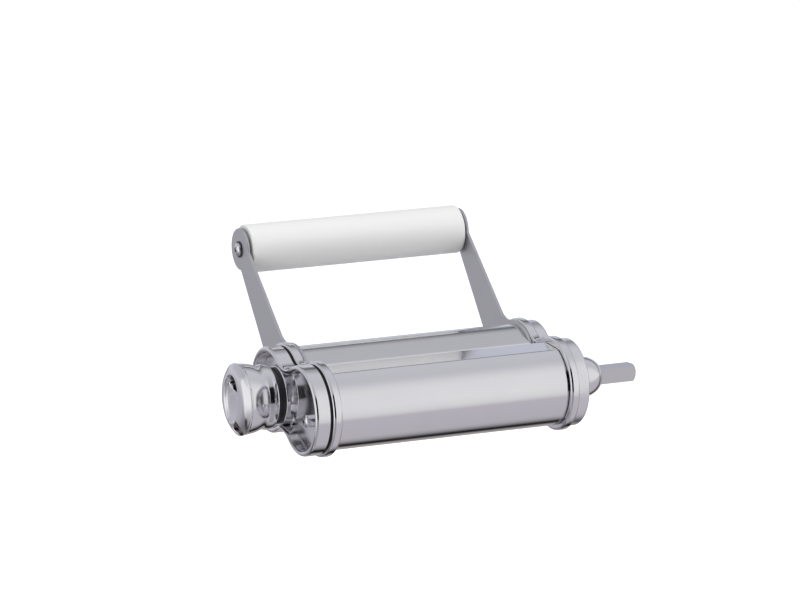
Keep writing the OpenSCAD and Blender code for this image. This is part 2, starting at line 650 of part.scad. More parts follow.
// ---------- support arms ----------
module support_arm() {
    x0 = xb + end_play / 2;
    x1 = xi - end_play / 2;
    ca = [rear_y, 0];
    u = [cos(arm_angle), sin(arm_angle)];
    v = [-sin(arm_angle), cos(arm_angle)];
    function pt(s, t) = ca + s * u + t * v;
    s1 = arm_len - sqrt(arm_head_r * arm_head_r - arm_half_head * arm_half_head) * 0.9;
    // [taper, centre of the fillet, its point on the flank] for a flank that is root away from the arm's line
    function flank(root) = let (
        taper = atan((root - arm_half_head) / (s1 - arm_ring_r)),
        c = s1 * sin(taper) + arm_half_head * cos(taper) + arm_fillet,
        q = sqrt(max(0.01, pow(arm_ring_r + arm_fillet, 2) - c * c)),
        a = c * sin(taper) + q * cos(taper),
        b = c * cos(taper) - q * sin(taper))
        [a, b, a - arm_fillet * sin(taper), b - arm_fillet * cos(taper)];
    f = flank(arm_half_root);
    r = flank(arm_back_root);
    difference() {
        union() {
            xcyl(x0, x1, arm_ring_r, rear_y);
            xcyl(x0, x1, arm_head_r, head_y, head_z);
            yz(x0, x1) polygon([pt(f[2], f[3]), pt(s1, arm_half_head), pt(s1, -arm_half_head), pt(r[2], -r[3])]);
            yz(x0, x1) polygon([pt(0, 0), pt(f[0], f[1]), pt(f[2] + 0.5, f[3] * 0.98),
                                pt(r[2] + 0.5, -r[3] * 0.98), pt(r[0], -r[1])]);
        }
        xcyl(x0 - 1, x1 + 1, arm_fillet + 0.01, pt(f[0], f[1])[0], pt(f[0], f[1])[1]);
        xcyl(x0 - 1, x1 + 1, arm_fillet + 0.01, pt(r[0], -r[1])[0], pt(r[0], -r[1])[1]);
        xcyl(x0 - 1, x1 + 1, boss_r + run_fit, rear_y);
        xcyl(x0 - 1, x1 + 1, 2, head_y, head_z);
    }
}
module right_support_arm() color(steel) place() support_arm();
module left_support_arm() color(steel) place() mirror([1, 0, 0]) support_arm();
module support_axle() color(steel) place() difference() {
    xcyl(-xb - end_play / 2, xb + end_play / 2, support_axle_r, head_y, head_z);
    for (s = [-1, 1]) xcyl(s > 0 ? xb - 7 : -xb - 1, s > 0 ? xb + 1 : -xb + 7, 2, head_y, head_z);
}
module arm_screw() pan_screw(xi - end_play / 2 + 0.6, xb - 6, head_y, head_z, arm_screw_head_r, 2.2, 2);
module right_arm_screw() color(chrome) place() arm_screw();
module left_arm_screw() color(chrome) place() mirror([1, 0, 0]) arm_screw();
module arm_washer() difference() {
    xcyl(xi - end_play / 2, xi - end_play / 2 + 0.6, arm_screw_head_r + 0.9, head_y, head_z);
    xcyl(xb, xi + 2, 2, head_y, head_z);
}
module right_arm_washer() color(dark) place() arm_washer();
module left_arm_washer() color(dark) place() mirror([1, 0, 0]) arm_washer();
module support_roller() color(white) place() difference() {
    xcyl(-support_len / 2, support_len / 2, support_roller_r, head_y, head_z);
    xcyl(-support_len / 2 - 1, support_len / 2 + 1, support_roller_r - support_wall, head_y, head_z);
}
module roller_plug(end = support_len / 2, x0 = support_len / 2 - plug_depth) difference() {
    union() {
        xcyl(x0, end - plug_inset, support_roller_r - support_wall, head_y, head_z);
        xcyl(x0, xb - end_play / 2, support_axle_r + plug_wall, head_y, head_z);
    }
    xcyl(x0 - 1, xb + 1, support_axle_r + run_fit, head_y, head_z);
}
module right_roller_plug() color(white) place() roller_plug();
module left_roller_plug() color(white) place() mirror([1, 0, 0]) roller_plug();

left_side_frame();
right_side_frame();
left_arm_retainer();
right_arm_retainer();
front_cover();
rear_cover();
front_scraper();
rear_scraper();
tie_rods();
left_rod_screws();
right_rod_screws();
left_drive_bush();
right_drive_bush();
left_gasket();
right_gasket();
left_end_cap();
right_end_cap();
left_cap_screws();
right_cap_screws();
drive_nose();
locating_pin();
knob_bush();
index_ring();
drive_roller();
retaining_clip();
drive_gear();
driven_gear();
adjustable_roller();
left_bearing_block();
right_bearing_block();
carriage_bar();
follower_pin();
scroll_shaft();
knob_washer();
knob_screw();
thickness_knob();
knob_face();
knob_spring();
left_support_arm();
right_support_arm();
support_axle();
left_arm_screw();
right_arm_screw();
left_arm_washer();
right_arm_washer();
support_roller();
left_roller_plug();
right_roller_plug();
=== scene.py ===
import json
import math

import bmesh
import bpy
from bpy.props import FloatProperty, FloatVectorProperty, IntProperty, PointerProperty
from mathutils import Matrix, Vector


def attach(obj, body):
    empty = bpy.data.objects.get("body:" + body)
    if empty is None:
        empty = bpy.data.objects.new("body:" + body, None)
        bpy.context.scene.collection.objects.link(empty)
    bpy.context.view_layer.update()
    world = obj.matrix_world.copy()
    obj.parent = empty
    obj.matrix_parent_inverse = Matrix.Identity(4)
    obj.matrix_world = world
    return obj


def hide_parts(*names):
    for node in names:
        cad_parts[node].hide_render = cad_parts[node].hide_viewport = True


bl_info = {
    "name": "Pasta Sheet Roller",
    "version": (1, 0, 0),
    "blender": (4, 5, 0),
    "location": "View3D > Sidebar > Pasta Roller",
    "description": "Builds the finished pasta sheet roller on its packed model",
    "category": "Add Mesh",
}

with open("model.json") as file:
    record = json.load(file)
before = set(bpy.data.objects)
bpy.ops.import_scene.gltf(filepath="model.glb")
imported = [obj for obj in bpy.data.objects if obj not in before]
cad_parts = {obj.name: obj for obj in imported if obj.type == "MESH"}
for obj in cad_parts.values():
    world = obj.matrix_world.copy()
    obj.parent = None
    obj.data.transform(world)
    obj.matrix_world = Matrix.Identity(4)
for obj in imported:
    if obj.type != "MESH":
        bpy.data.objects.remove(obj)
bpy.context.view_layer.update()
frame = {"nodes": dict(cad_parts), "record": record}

MM = 0.001

# Stations along X from the mid-plane; left pieces are built on +X and mirrored
BOSS_X = 73.0            # inner end of the arm boss
FRAME_IN_X = 75.0        # faces of the side frame
FRAME_OUT_X = 81.0
CAP_FOOT_X = 82.6        # open edge of the left cap
CAP_FLOOR_X = 85.2       # sunk face of the left cap
SCREW_SEAT_X = 88.0      # seats of the left cap's screws
RIGHT_CAP_X = 88.7       # face of the right cap
SEAT_X = 90.7            # seat face of the drive nose, where the part has its origin
CAP_RIM_X = 91.7         # rim and neck of the left cap
KNOB_FOOT_X = 97.0
KNOB_RIM_X = 116.3
KNOB_END_X = 119.8

# Centres across the machine
FRONT_Y, REAR_Y, KNOB_Y = -6.0, 40.2, 28.0
LOBE_GAP = REAR_Y - FRONT_Y
WAIST_Y = 16.0
LEFT_SCREWS = ((-10.3, -5.3), (56.5, -11.5))
RIGHT_SCREWS = ((56.5, -11.5), (56.5, 11.5))

# Radii of the front lobe, the rear lobe and the hollow waist between them
FRAME_LOBES = (28.7, 27.6, 14.0)
LEFT_CAP_LOBES = (27.2, 26.1, 15.5)
RIGHT_CAP_LOBES = (26.7, 25.6, 16.0)

COVER_R, COVER_TOP, COVER_WALL = 25.3, 23.8, 1.2
COVER_FOOT = 11.0        # foot of the front cover, behind the front lobe's centre
SEAT_CLEAR = 0.1         # from a cover to the seat inside it

ARM_ANGLE, ARM_LENGTH = math.radians(36.6), 106.8
ARM_RING_R, ARM_HEAD_R, ARM_FILLET = 26.9, 13.0, 14.0
ARM_FRONT, ARM_REAR = 8.8, 21.6          # half widths at the ring
ARM_NECK, ARM_NECK_AT = 8.2, 97.72       # half width where the flanks meet the head, and how far along
HEAD = (REAR_Y + ARM_LENGTH * math.cos(ARM_ANGLE), ARM_LENGTH * math.sin(ARM_ANGLE))

ROLLER_R, ROLLER_BORE, ROLLER_HALF = 15.0, 12.6, 71.5
AXLE_BORE = 3.05

# Side of the knob from its foot, as (radius, distance): bead, waist and flare
KNOB_SIDE = ((18.5, -0.25), (19.1, -0.1), (19.5, 0.35), (19.75, 1.1), (19.83, 2.1), (19.8, 3.0), (19.7, 3.9),
             (19.53, 4.8), (19.38, 5.6), (19.33, 6.4), (19.43, 7.2), (19.75, 8.3), (20.25, 9.7), (20.7, 11.2),
             (21.02, 12.8), (21.25, 14.4), (21.42, 16.0), (21.5, 17.3))
# Groove and rim, from the rim's station
KNOB_RIM = ((21.42, -1.6), (21.5, -1.3), (21.8, -0.8), (21.95, -0.3), (21.9, 0.1))
KNOB_EDGE_R = 21.9       # edge of the knob's domed end
DISH_Y = 1.8             # centre of the dish in that end
# Finger scoops: centre y and z, half widths, and the share of them that is fully deep
SCOOPS = ((DISH_Y, 9.8, 7.6, 5.2, 0.62), (-5.6, -16.4, 6.6, 5.0, 0.55))


# ---------- settings ----------
class RollerSizes(bpy.types.PropertyGroup):
    """Sizes of the rounded edges and small shapes"""
    frame_round: FloatProperty(name="Frame Edge", description="Rounding of the side frames' edges",
                               default=0.0016, unit="LENGTH")
    rim_round: FloatProperty(name="Cap Rim", description="Rounding of the left cap's rim",
                             default=0.0017, unit="LENGTH")
    cap_round: FloatProperty(name="Right Cap Edge", description="Rounding of the right cap's edge",
                             default=0.0018, unit="LENGTH")
    bend_round: FloatProperty(name="Cover Bend", description="Bend from the front cover's round to its top",
                              default=0.0035, unit="LENGTH")
    lip_round: FloatProperty(name="Lip Bend", description="Bend at the feed lips",
                             default=0.0012, unit="LENGTH")
    arm_round: FloatProperty(name="Arm Edge", description="Rounding of the arms' edges",
                             default=0.00045, unit="LENGTH")
    pocket_depth: FloatProperty(name="Pocket Depth", description="Depth of the knob's finger pockets",
                                default=0.00408, unit="LENGTH")
    arc_steps: IntProperty(name="Arc Steps", description="Steps round the large arcs",
                           default=64, min=16, max=128)


class RollerColours(bpy.types.PropertyGroup):
    """Colours of the finishes"""
    chrome: FloatVectorProperty(name="Chrome", description="Tint of the polished chrome",
                                default=(0.86, 0.855, 0.875), subtype="COLOR", size=3)
    brushed: FloatVectorProperty(name="Brushed Steel", description="Tint of the brushed arms",
                                 default=(0.80, 0.80, 0.84), subtype="COLOR", size=3)
    ground: FloatVectorProperty(name="Ground Steel", description="Tint of rollers and rods",
                                default=(0.70, 0.70, 0.72), subtype="COLOR", size=3)
    bronze: FloatVectorProperty(name="Bronze", description="Tint of the bearings",
                                default=(0.72, 0.52, 0.26), subtype="COLOR", size=3)
    black: FloatVectorProperty(name="Black", description="Black plastic and rubber",
                               default=(0.005, 0.005, 0.0055), subtype="COLOR", size=3)
    white: FloatVectorProperty(name="White", description="White support roller",
                               default=(0.80, 0.80, 0.825), subtype="COLOR", size=3)
    floor: FloatVectorProperty(name="Floor", description="Pale floor", default=(0.86, 0.86, 0.87),
                               subtype="COLOR", size=3)


def sizes():
    return bpy.context.scene.roller_sizes


def colours():
    return bpy.context.scene.roller_colours


# ---------- mesh helpers ----------
def path_loop(bm, x, start, moves, closed=True):
    """Draws an outline at x: each move is (centre y, centre z, degrees, steps) or (y, z)."""
    before = set(bm.edges)
    first = last = bm.verts.new((x, start[0], start[1]))
    for move in moves:
        if len(move) == 2:
            out = bmesh.ops.extrude_vert_indiv(bm, verts=[last])
            last = out["verts"][0]
            bmesh.ops.translate(bm, verts=[last], vec=Vector((x, *move)) - last.co)
        else:
            y, z, degrees, steps = move
            out = bmesh.ops.spin(bm, geom=[last], cent=(x, y, z), axis=(1, 0, 0),
                                 angle=math.radians(degrees), steps=steps)
            last = [g for g in out["geom_last"] if isinstance(g, bmesh.types.BMVert)][0]
    if closed:
        bmesh.ops.pointmerge(bm, verts=[first, last], merge_co=first.co)
    return [e for e in bm.edges if e not in before]


def lobe_loop(bm, x, r1, r2, rf):
    """Two round lobes joined by a hollow waist."""
    n = sizes().arc_steps
    t = ((r1 + rf) ** 2 - (r2 + rf) ** 2 + LOBE_GAP ** 2) / (2 * LOBE_GAP)
    h = math.sqrt((r1 + rf) ** 2 - t * t)
    a1, a2 = math.degrees(math.atan2(h, t)), math.degrees(math.atan2(h, t - LOBE_GAP))
    start = (FRONT_Y + r1 * math.cos(math.radians(a1)), r1 * math.sin(math.radians(a1)))
    return path_loop(bm, x, start, [
        (FRONT_Y, 0, 360 - 2 * a1, n), (FRONT_Y + t, -h, a1 - a2, n // 4),
        (REAR_Y, 0, 2 * a2, n), (FRONT_Y + t, h, a1 - a2, n // 4)])


def circle_loop(bm, x, r, y, z, steps):
    return path_loop(bm, x, (y + r, z), [(y, z, 360, steps)])


def bridge(bm, loops):
    for a, b in zip(loops, loops[1:]):
        bmesh.ops.bridge_loops(bm, edges=a + b)


def close_loop(bm, loop):
    bmesh.ops.contextual_create(bm, geom=loop)


def round_stations(x, inset, r, begin, end, steps):
    """Stations (x, inset) round a centre, from one angle to another in degrees; 0 points along +X."""
    angles = [math.radians(begin + (end - begin) * k / steps) for k in range(steps + 1)]
    return [(x + r * math.cos(a), inset + r * math.sin(a)) for a in angles]


def dome_profile(r, x, height, top, steps):
    """Profile (radius, x) of an elliptic dome of base radius r, up to the angle top in degrees."""
    angles = [math.radians(top) * k / steps for k in range(steps + 1)]
    return [(r * math.cos(a), x + height * math.sin(a)) for a in angles]


def turned(bm, profile, y, z, steps=96):
    """Spins a profile of (radius, x) points about an axis along X."""
    before = set(bm.verts)
    last = bm.verts.new((profile[0][1], y + profile[0][0], z))
    for r, x in profile[1:]:
        last = bmesh.ops.extrude_vert_indiv(bm, verts=[last])["verts"][0]
        bmesh.ops.translate(bm, verts=[last], vec=Vector((x, y + r, z)) - last.co)
    verts = [v for v in bm.verts if v not in before]
    edges = list({e for v in verts for e in v.link_edges})
    bmesh.ops.spin(bm, geom=verts + edges, cent=(0, y, z), axis=(1, 0, 0), angle=2 * math.pi,
                   steps=steps, use_merge=True)
    new = [v for v in bm.verts if v not in before]
    bmesh.ops.remove_doubles(bm, verts=new, dist=0.0005)


def rounded(points, radii, steps=4):
    """A profile with its corners rounded by the radii given."""
    out = []
    n = len(points)
    for i, (p, r) in enumerate(zip(points, radii)):
        if r <= 0 or i in (0, n - 1):
            out.append(p)
            continue
        p, a, b = Vector(p), Vector(points[i - 1]), Vector(points[i + 1])
        u, v = (a - p).normalized(), (b - p).normalized()
        half = u.angle(v) / 2
        d = r / math.tan(half)
        centre = p + (u + v).normalized() * (r / math.sin(half))
        s, e = p + u * d - centre, p + v * d - centre
        sweep = s.angle_signed(e)
        for k in range(steps + 1):
            q = s.copy()
            q.rotate(Matrix.Rotation(-sweep * k / steps, 2))
            out.append(tuple(centre + q))
    return out


def extrude_x(bm, edges, width):
    """Extrudes edges along X and returns the new verts."""
    out = bmesh.ops.extrude_edge_only(bm, edges=edges)
    verts = [g for g in out["geom"] if isinstance(g, bmesh.types.BMVert)]
    bmesh.ops.translate(bm, verts=verts, vec=(width, 0, 0))
    return verts


def flip_side(bm, left):
    """Mirrors a left piece to its side, and returns the side's name."""
    if left:
        bmesh.ops.scale(bm, vec=(-1, 1, 1), verts=bm.verts)
    return "left" if left else "right"


def close_piece(bm, name, body, slot, nodes, look=None, angle=35.0, solid=True):
    """Puts a piece in the part's frame, in metres; its finish is its slot's unless a look is given."""
    bmesh.ops.remove_doubles(bm, verts=bm.verts, dist=0.0008)
    if solid:
        bmesh.ops.recalc_face_normals(bm, faces=bm.faces)
    bmesh.ops.translate(bm, verts=bm.verts, vec=(-SEAT_X, 0, 0))
    bmesh.ops.scale(bm, vec=(MM, MM, MM), verts=bm.verts)
    mesh = bpy.data.meshes.new(name)
    bm.to_mesh(mesh)
    bm.free()
    mesh.shade_smooth()
    mesh.set_sharp_from_angle(angle=math.radians(angle))
    obj = bpy.data.objects.new(name, mesh)
    bpy.context.scene.collection.objects.link(obj)
    mesh.materials.append(finish(look or SLOT_FINISH[slot]))
    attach(obj, body)
    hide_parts(*nodes)
    return obj


def station_of(face):
    """Distance of a left piece's face from the mid-plane, in millimetres."""
    return -face.center.x / MM - SEAT_X


def even_normals(obj):
    mod = obj.modifiers.new("Even Normals", "WEIGHTED_NORMAL")
    mod.keep_sharp = True
    mod.weight = 70


def cut(obj_bm, cutter_bm):
    """Takes the cutter's shape out of a bmesh and returns the result as a new bmesh."""
    made = []
    for bm, name in ((obj_bm, "cut_body"), (cutter_bm, "cut_tool")):
        bmesh.ops.recalc_face_normals(bm, faces=bm.faces)
        mesh = bpy.data.meshes.new(name)
        bm.to_mesh(mesh)
        bm.free()
        obj = bpy.data.objects.new(name, mesh)
        bpy.context.scene.collection.objects.link(obj)
        made.append(obj)
    mod = made[0].modifiers.new("Cut", "BOOLEAN")
    mod.object = made[1]
    mod.operation = "DIFFERENCE"
    mod.solver = "EXACT"
    graph = bpy.context.evaluated_depsgraph_get()
    result = bmesh.new()
    result.from_mesh(made[0].evaluated_get(graph).to_mesh())
    made[0].evaluated_get(graph).to_mesh_clear()
    for obj in made:
        mesh = obj.data
        bpy.data.objects.remove(obj)
        bpy.data.meshes.remove(mesh)
    return result


def join(bm, other):
    """Adds another bmesh's shells to bm."""
    mesh = bpy.data.meshes.new("joined")
    other.to_mesh(mesh)
    other.free()
    bm.from_mesh(mesh)
    bpy.data.meshes.remove(mesh)


# ---------- finishes ----------
class Graph:
    """A node tree with short ways to add nodes."""

    def __init__(self, tree):
        self.nodes, self.links = tree.nodes, tree.links

    def add(self, kind, inputs=None, **settings):
        """Adds a node with its settings and inputs."""
        node = self.nodes.new(kind)
        for name, value in settings.items():
            setattr(node, name, value)
        self.feed(node, inputs or {})
        return node

    def feed(self, node, inputs):
        """Links each input that is given a socket, and sets the others to their values."""
        for key, value in inputs.items():
            if isinstance(value, bpy.types.NodeSocket):
                self.links.new(value, node.inputs[key])
            else:
                node.inputs[key].default_value = value

    def noise(self, vector, **values):
        return self.add("ShaderNodeTexNoise", {"Vector": vector, **values}).outputs["Fac"]

    def maths(self, operation, *values):
        return self.add("ShaderNodeMath", dict(enumerate(values)), operation=operation).outputs[0]

    def spread(self, value, low, high, to_low=0.0, to_high=1.0, **settings):
        """Maps the value's range from low to high onto another range."""
        inputs = {"Value": value, "From Min": low, "From Max": high, "To Min": to_low, "To Max": to_high}
        return self.add("ShaderNodeMapRange", inputs, **settings).outputs["Result"]

    def mix(self, mask, a, b, blend="MIX"):
        """Colour that goes from a to b, blended, as the mask rises."""
        return self.add("ShaderNodeMix", {"Factor": mask, "A": a, "B": b},
                        data_type="RGBA", blend_type=blend).outputs["Result"]

    def mix_shader(self, mask, a, b):
        return self.add("ShaderNodeMixShader", {0: mask, 1: a, 2: b}).outputs[0]


FLOAT, VECTOR, COLOUR = "NodeSocketFloat", "NodeSocketVector", "NodeSocketColor"
GREY = (0.8, 0.8, 0.8, 1)


def node_group(name, sockets_in, sockets_out, build):
    """A shader node group with the sockets given; build(graph, given, out) fills it."""
    if name in bpy.data.node_groups:
        return bpy.data.node_groups[name]
    tree = bpy.data.node_groups.new(name, "ShaderNodeTree")
    for label, kind, default in sockets_in:
        socket = tree.interface.new_socket(name=label, in_out="INPUT", socket_type=kind)
        if default is not None:
            socket.default_value = default
    for label, kind in sockets_out:
        tree.interface.new_socket(name=label, in_out="OUTPUT", socket_type=kind)
    graph = Graph(tree)
    build(graph, graph.add("NodeGroupInput").outputs, graph.add("NodeGroupOutput"))
    return tree


def handling_marks():
    """Faint smudges and fine wipe marks: roughness between two values, and a slight tint change."""
    def build(graph, given, out):
        smudge = graph.noise(given["Vector"], Scale=32.0, Detail=5.0, Distortion=0.6)
        fine = graph.noise(given["Vector"], Scale=900.0, Detail=2.0)
        mixed = graph.maths("MULTIPLY_ADD", fine, 0.25, smudge)
        graph.feed(out, {"Roughness": graph.spread(mixed, 0.4, 0.85, given["Low"], given["High"]),
                         "Colour": graph.mix(smudge, given["Colour"], (0.965, 0.962, 0.972, 1), "MULTIPLY")})
    return node_group("handling_marks", [("Vector", VECTOR, None), ("Colour", COLOUR, GREY),
                                         ("Low", FLOAT, 0.1), ("High", FLOAT, 0.2)],
                      [("Colour", COLOUR), ("Roughness", FLOAT)], build)


def grinding_lines():
    """Fine parallel lines along the first axis of the vector, as brushing or turning leaves."""
    def build(graph, given, out):
        stretch = graph.add("ShaderNodeVectorMath", {0: given["Vector"], 1: (12.0, 2600.0, 2600.0)},
                            operation="MULTIPLY")
        lines = graph.noise(stretch.outputs["Vector"], Scale=1.0, Detail=3.0)
        graph.feed(out, {"Roughness": graph.spread(lines, 0.3, 0.7, given["Low"], given["High"]),
                         "Height": lines})
    return node_group("grinding_lines", [("Vector", VECTOR, None),
                                         ("Low", FLOAT, 0.2), ("High", FLOAT, 0.35)],
                      [("Roughness", FLOAT), ("Height", FLOAT)], build)


def moulded_grain():
    """Fine pebbled grain of a moulded surface."""
    def build(graph, given, out):
        grain = graph.add("ShaderNodeTexVoronoi", {"Vector": given["Vector"], "Scale": 2200.0},
                          feature="SMOOTH_F1")
        cloud = graph.noise(given["Vector"], Scale=60.0, Detail=4.0)
        graph.feed(out, {"Roughness": graph.spread(cloud, 0.0, 1.0, given["Low"], given["High"]),
                         "Colour": graph.mix(cloud, given["Colour"], (0.93, 0.93, 0.93, 1), "MULTIPLY"),
                         "Height": grain.outputs["Distance"]})
    return node_group("moulded_grain", [("Vector", VECTOR, None), ("Colour", COLOUR, GREY),
                                        ("Low", FLOAT, 0.3), ("High", FLOAT, 0.5)],
                      [("Colour", COLOUR), ("Roughness", FLOAT), ("Height", FLOAT)], build)


def new_material(name, turn=(0, 0, 0)):
    """A material with its graph, its turned object coordinates and its shader."""
    mat = bpy.data.materials.new(name)
    mat.use_nodes = True
    graph = Graph(mat.node_tree)
    coords = graph.add("ShaderNodeTexCoord")
    mapping = graph.add("ShaderNodeMapping", {"Rotation": turn, "Vector": coords.outputs["Object"]})
    return mat, graph, mapping.outputs["Vector"], graph.nodes["Principled BSDF"]


def add_group(graph, group, vector, low, high, colour=None):
    values = {"Vector": vector, "Low": low, "High": high}
    if colour is not None:
        values["Colour"] = (*colour, 1)
    return graph.add("ShaderNodeGroup", values, node_tree=group).outputs


def add_bump(graph, height, shader, distance, strength=1.0):
    bump = graph.add("ShaderNodeBump", {"Height": height, "Distance": distance, "Strength": strength})
    graph.feed(shader, {"Normal": bump.outputs["Normal"]})


def chrome_finish(name, colour, low, high, ripple=0.0):
    mat, graph, vector, shader = new_material(name)
    marks = add_group(graph, handling_marks(), vector, low, high, colour)
    graph.feed(shader, {"Metallic": 1.0, "Base Color": marks["Colour"], "Roughness": marks["Roughness"]})
    if ripple:
        add_bump(graph, graph.noise(vector, Scale=55.0), shader, ripple, 0.5)
    return mat


def lined_finish(name, colour, low, high, turn=(0, 0, 0), depth=2e-6):
    mat, graph, vector, shader = new_material(name, turn)
    marks = add_group(graph, handling_marks(), vector, low, high, colour)
    lines = add_group(graph, grinding_lines(), vector, low, high)
    graph.feed(shader, {"Metallic": 1.0, "Base Color": marks["Colour"], "Roughness": lines["Roughness"]})
    add_bump(graph, lines["Height"], shader, depth)
    return mat


def moulded_finish(name, colour, low, high, depth, shine=0.5, coat=0.0):
    mat, graph, vector, shader = new_material(name)
    grain = add_group(graph, moulded_grain(), vector, low, high, colour)
    graph.feed(shader, {"Base Color": grain["Colour"], "Roughness": grain["Roughness"],
                        "Specular IOR Level": shine, "Coat Weight": coat, "Coat Roughness": 0.18})
    add_bump(graph, grain["Height"], shader, depth)
    return mat


def finish(name):
    """The finish called name, made the first time it is asked for."""
    if name in bpy.data.materials:
        return bpy.data.materials[name]
    c = colours()
    made = {
        "mirror_chrome": lambda: chrome_finish(name, c.chrome, 0.045, 0.10, 0.00001),
        "satin_chrome": lambda: chrome_finish(name, c.chrome, 0.10, 0.15),
        "pale_chrome": lambda: chrome_finish(name, (0.93, 0.93, 0.95), 0.24, 0.32),
        "knob_chrome": lambda: chrome_finish(name, c.chrome, 0.07, 0.12, 0.00001),
        "face_chrome": lambda: chrome_finish(name, c.chrome, 0.13, 0.19),
        "hollow_chrome": lambda: chrome_finish(name, c.chrome, 0.17, 0.23),
        # Dark tinted chrome for the deep faces of the knob's finger scoops: painted shade.
        "painted_shade_chrome": lambda: chrome_finish(name, (0.20, 0.185, 0.18), 0.16, 0.24),
        "bright_steel": lambda: chrome_finish(name, c.chrome, 0.08, 0.16),
        "brushed_steel": lambda: lined_finish(name, c.brushed, 0.30, 0.42, (-ARM_ANGLE, 0, 0)),
        "turned_steel": lambda: lined_finish(name, c.ground, 0.16, 0.28, (0, 0, math.pi / 2)),
        "plain_steel": lambda: chrome_finish(name, c.brushed, 0.32, 0.46),
        "bearing_bronze": lambda: lined_finish(name, c.bronze, 0.28, 0.40, (0, 0, math.pi / 2)),
        "black_plastic": lambda: moulded_finish(name, c.black, 0.40, 0.52, 6e-6, 0.06),
        "black_rubber": lambda: moulded_finish(name, c.black, 0.55, 0.70, 1.5e-5, 0.2),
        "white_plastic": lambda: moulded_finish(name, c.white, 0.32, 0.42, 3e-6, 0.4, 0.1),
    }
    return made[name]()


SLOT_FINISH = {
    "polished_chrome": "mirror_chrome", "bright_screws": "bright_steel", "brushed_steel": "brushed_steel",
    "ground_steel": "turned_steel", "plain_steel": "plain_steel", "bearing_bronze": "bearing_bronze",
    "black_plastic": "black_plastic", "black_rubber": "black_rubber", "white_plastic": "white_plastic",
}


# ---------- pieces ----------
def lobed_shell(bm, stations, base, first=True):
    """Skins lobed outlines at (x, inset) stations and closes the last, and the first if that is asked."""
    r1, r2, rf = base
    loops = [lobe_loop(bm, x, r1 - i, r2 - i, rf + i) for x, i in stations]
    bridge(bm, loops)
    if first:
        close_loop(bm, loops[0])
    close_loop(bm, loops[-1])


def slot_cutter(bm, x0, x1, y, reach, r):
    """A round-ended slot along Y, as a solid."""
    loop = path_loop(bm, x0, (y, -r), [(y, 0, -180, 16), (y + reach, r), (y + reach, 0, -180, 16)])
    far = set(extrude_x(bm, loop, x1 - x0))
    close_loop(bm, loop)
    close_loop(bm, [e for e in bm.edges if far.issuperset(e.verts)])


def box_cutter(bm, low, high):
    out = bmesh.ops.create_cube(bm, size=1.0)
    size = [b - a for a, b in zip(low, high)]
    mid = [(a + b) / 2 for a, b in zip(low, high)]
    bmesh.ops.scale(bm, vec=size, verts=out["verts"])
    bmesh.ops.translate(bm, verts=out["verts"], vec=mid)


def side_frame(left):
    """Two-lobed plate with a window, a bush hole, the arm's boss and the front cover's seat."""
    r = sizes().frame_round / MM
    plate = bmesh.new()
    lobed_shell(plate, round_stations(FRAME_IN_X + r, r, r, -180, -90, 5)
                + round_stations(FRAME_OUT_X - r, r, r, -90, 0, 5), FRAME_LOBES)
    window = bmesh.new()
    front, rear, half_height = 17.94, 53.64, 12.06
    box_cutter(window, (FRAME_IN_X - 0.5, front, -half_height), (FRAME_OUT_X + 1, rear, half_height))
    plate = cut(plate, window)
    bush_r, low, high = 8.5, FRAME_IN_X - 1, FRAME_OUT_X + 1
    bush = bmesh.new()
    turned(bush, [(0, low), (bush_r, low), (bush_r, high), (0, high)], 0, 0, 64)
    plate = cut(plate, bush)
    boss_r, root, slot_reach = 20, FRAME_IN_X + 0.3, 2.4
    boss = bmesh.new()
    profile = [(0, BOSS_X), (boss_r, BOSS_X), (boss_r, root), (0, root)]
    turned(boss, rounded(profile, [0, 0.4, 0, 0]), REAR_Y, 0)
    for y, hole_r in ((KNOB_Y, 6.5), (48.0, 3.0)):
        slot = bmesh.new()
        slot_cutter(slot, BOSS_X - 1, FRAME_IN_X + 1, y, slot_reach, hole_r)
        boss = cut(boss, slot)
    join(plate, boss)
    add_cover_seat(plate)
    side = flip_side(plate, left)
    obj = close_piece(plate, side + "_frame_plate", "housing", "polished_chrome", [side + "_side_frame"])
    even_normals(obj)


def add_cover_seat(plate):
    """Flange inside the front cover, which the cover's end sits on."""
    depth, wall, inner_r, bend = 4.0, 3.0, 20.3, 2.4
    r, top = COVER_R - COVER_WALL - SEAT_CLEAR, COVER_TOP - COVER_WALL - SEAT_CLEAR
    seat = path_loop(plate, FRAME_IN_X - depth, cover_foot(r), front_arcs(r, top, bend), closed=False)
    extrude_x(plate, seat, depth + 0.3)
    faces = [f for f in plate.faces
             if all(FRAME_IN_X - depth - 0.1 < v.co.x < FRAME_IN_X + 0.4 for v in f.verts)
             and all(math.hypot(v.co.y - FRONT_Y, v.co.z) > inner_r for v in f.verts)
             and all(v.co.y < FRONT_Y + COVER_FOOT + 0.2 for v in f.verts)]
    bmesh.ops.solidify(plate, geom=faces, thickness=wall)


def cover_foot(r):
    """Foot of the front cover's round, or of the seat inside it, for its radius."""
    return FRONT_Y + COVER_FOOT, -math.sqrt(r * r - COVER_FOOT ** 2)


def front_arcs(r, top, bend):
    """Moves from the front cover's foot round the front to its flat top's rear edge."""
    foot = math.degrees(math.atan2(cover_foot(r)[1], COVER_FOOT))
    cz = top - bend
    cy = -math.sqrt((r - bend) ** 2 - cz ** 2)
    turn = math.degrees(math.atan2(cz, cy))
    sweep = 360 - turn + foot
    return [(FRONT_Y, 0, -sweep, sizes().arc_steps), (FRONT_Y + cy, cz, -(turn - 90), 8)]


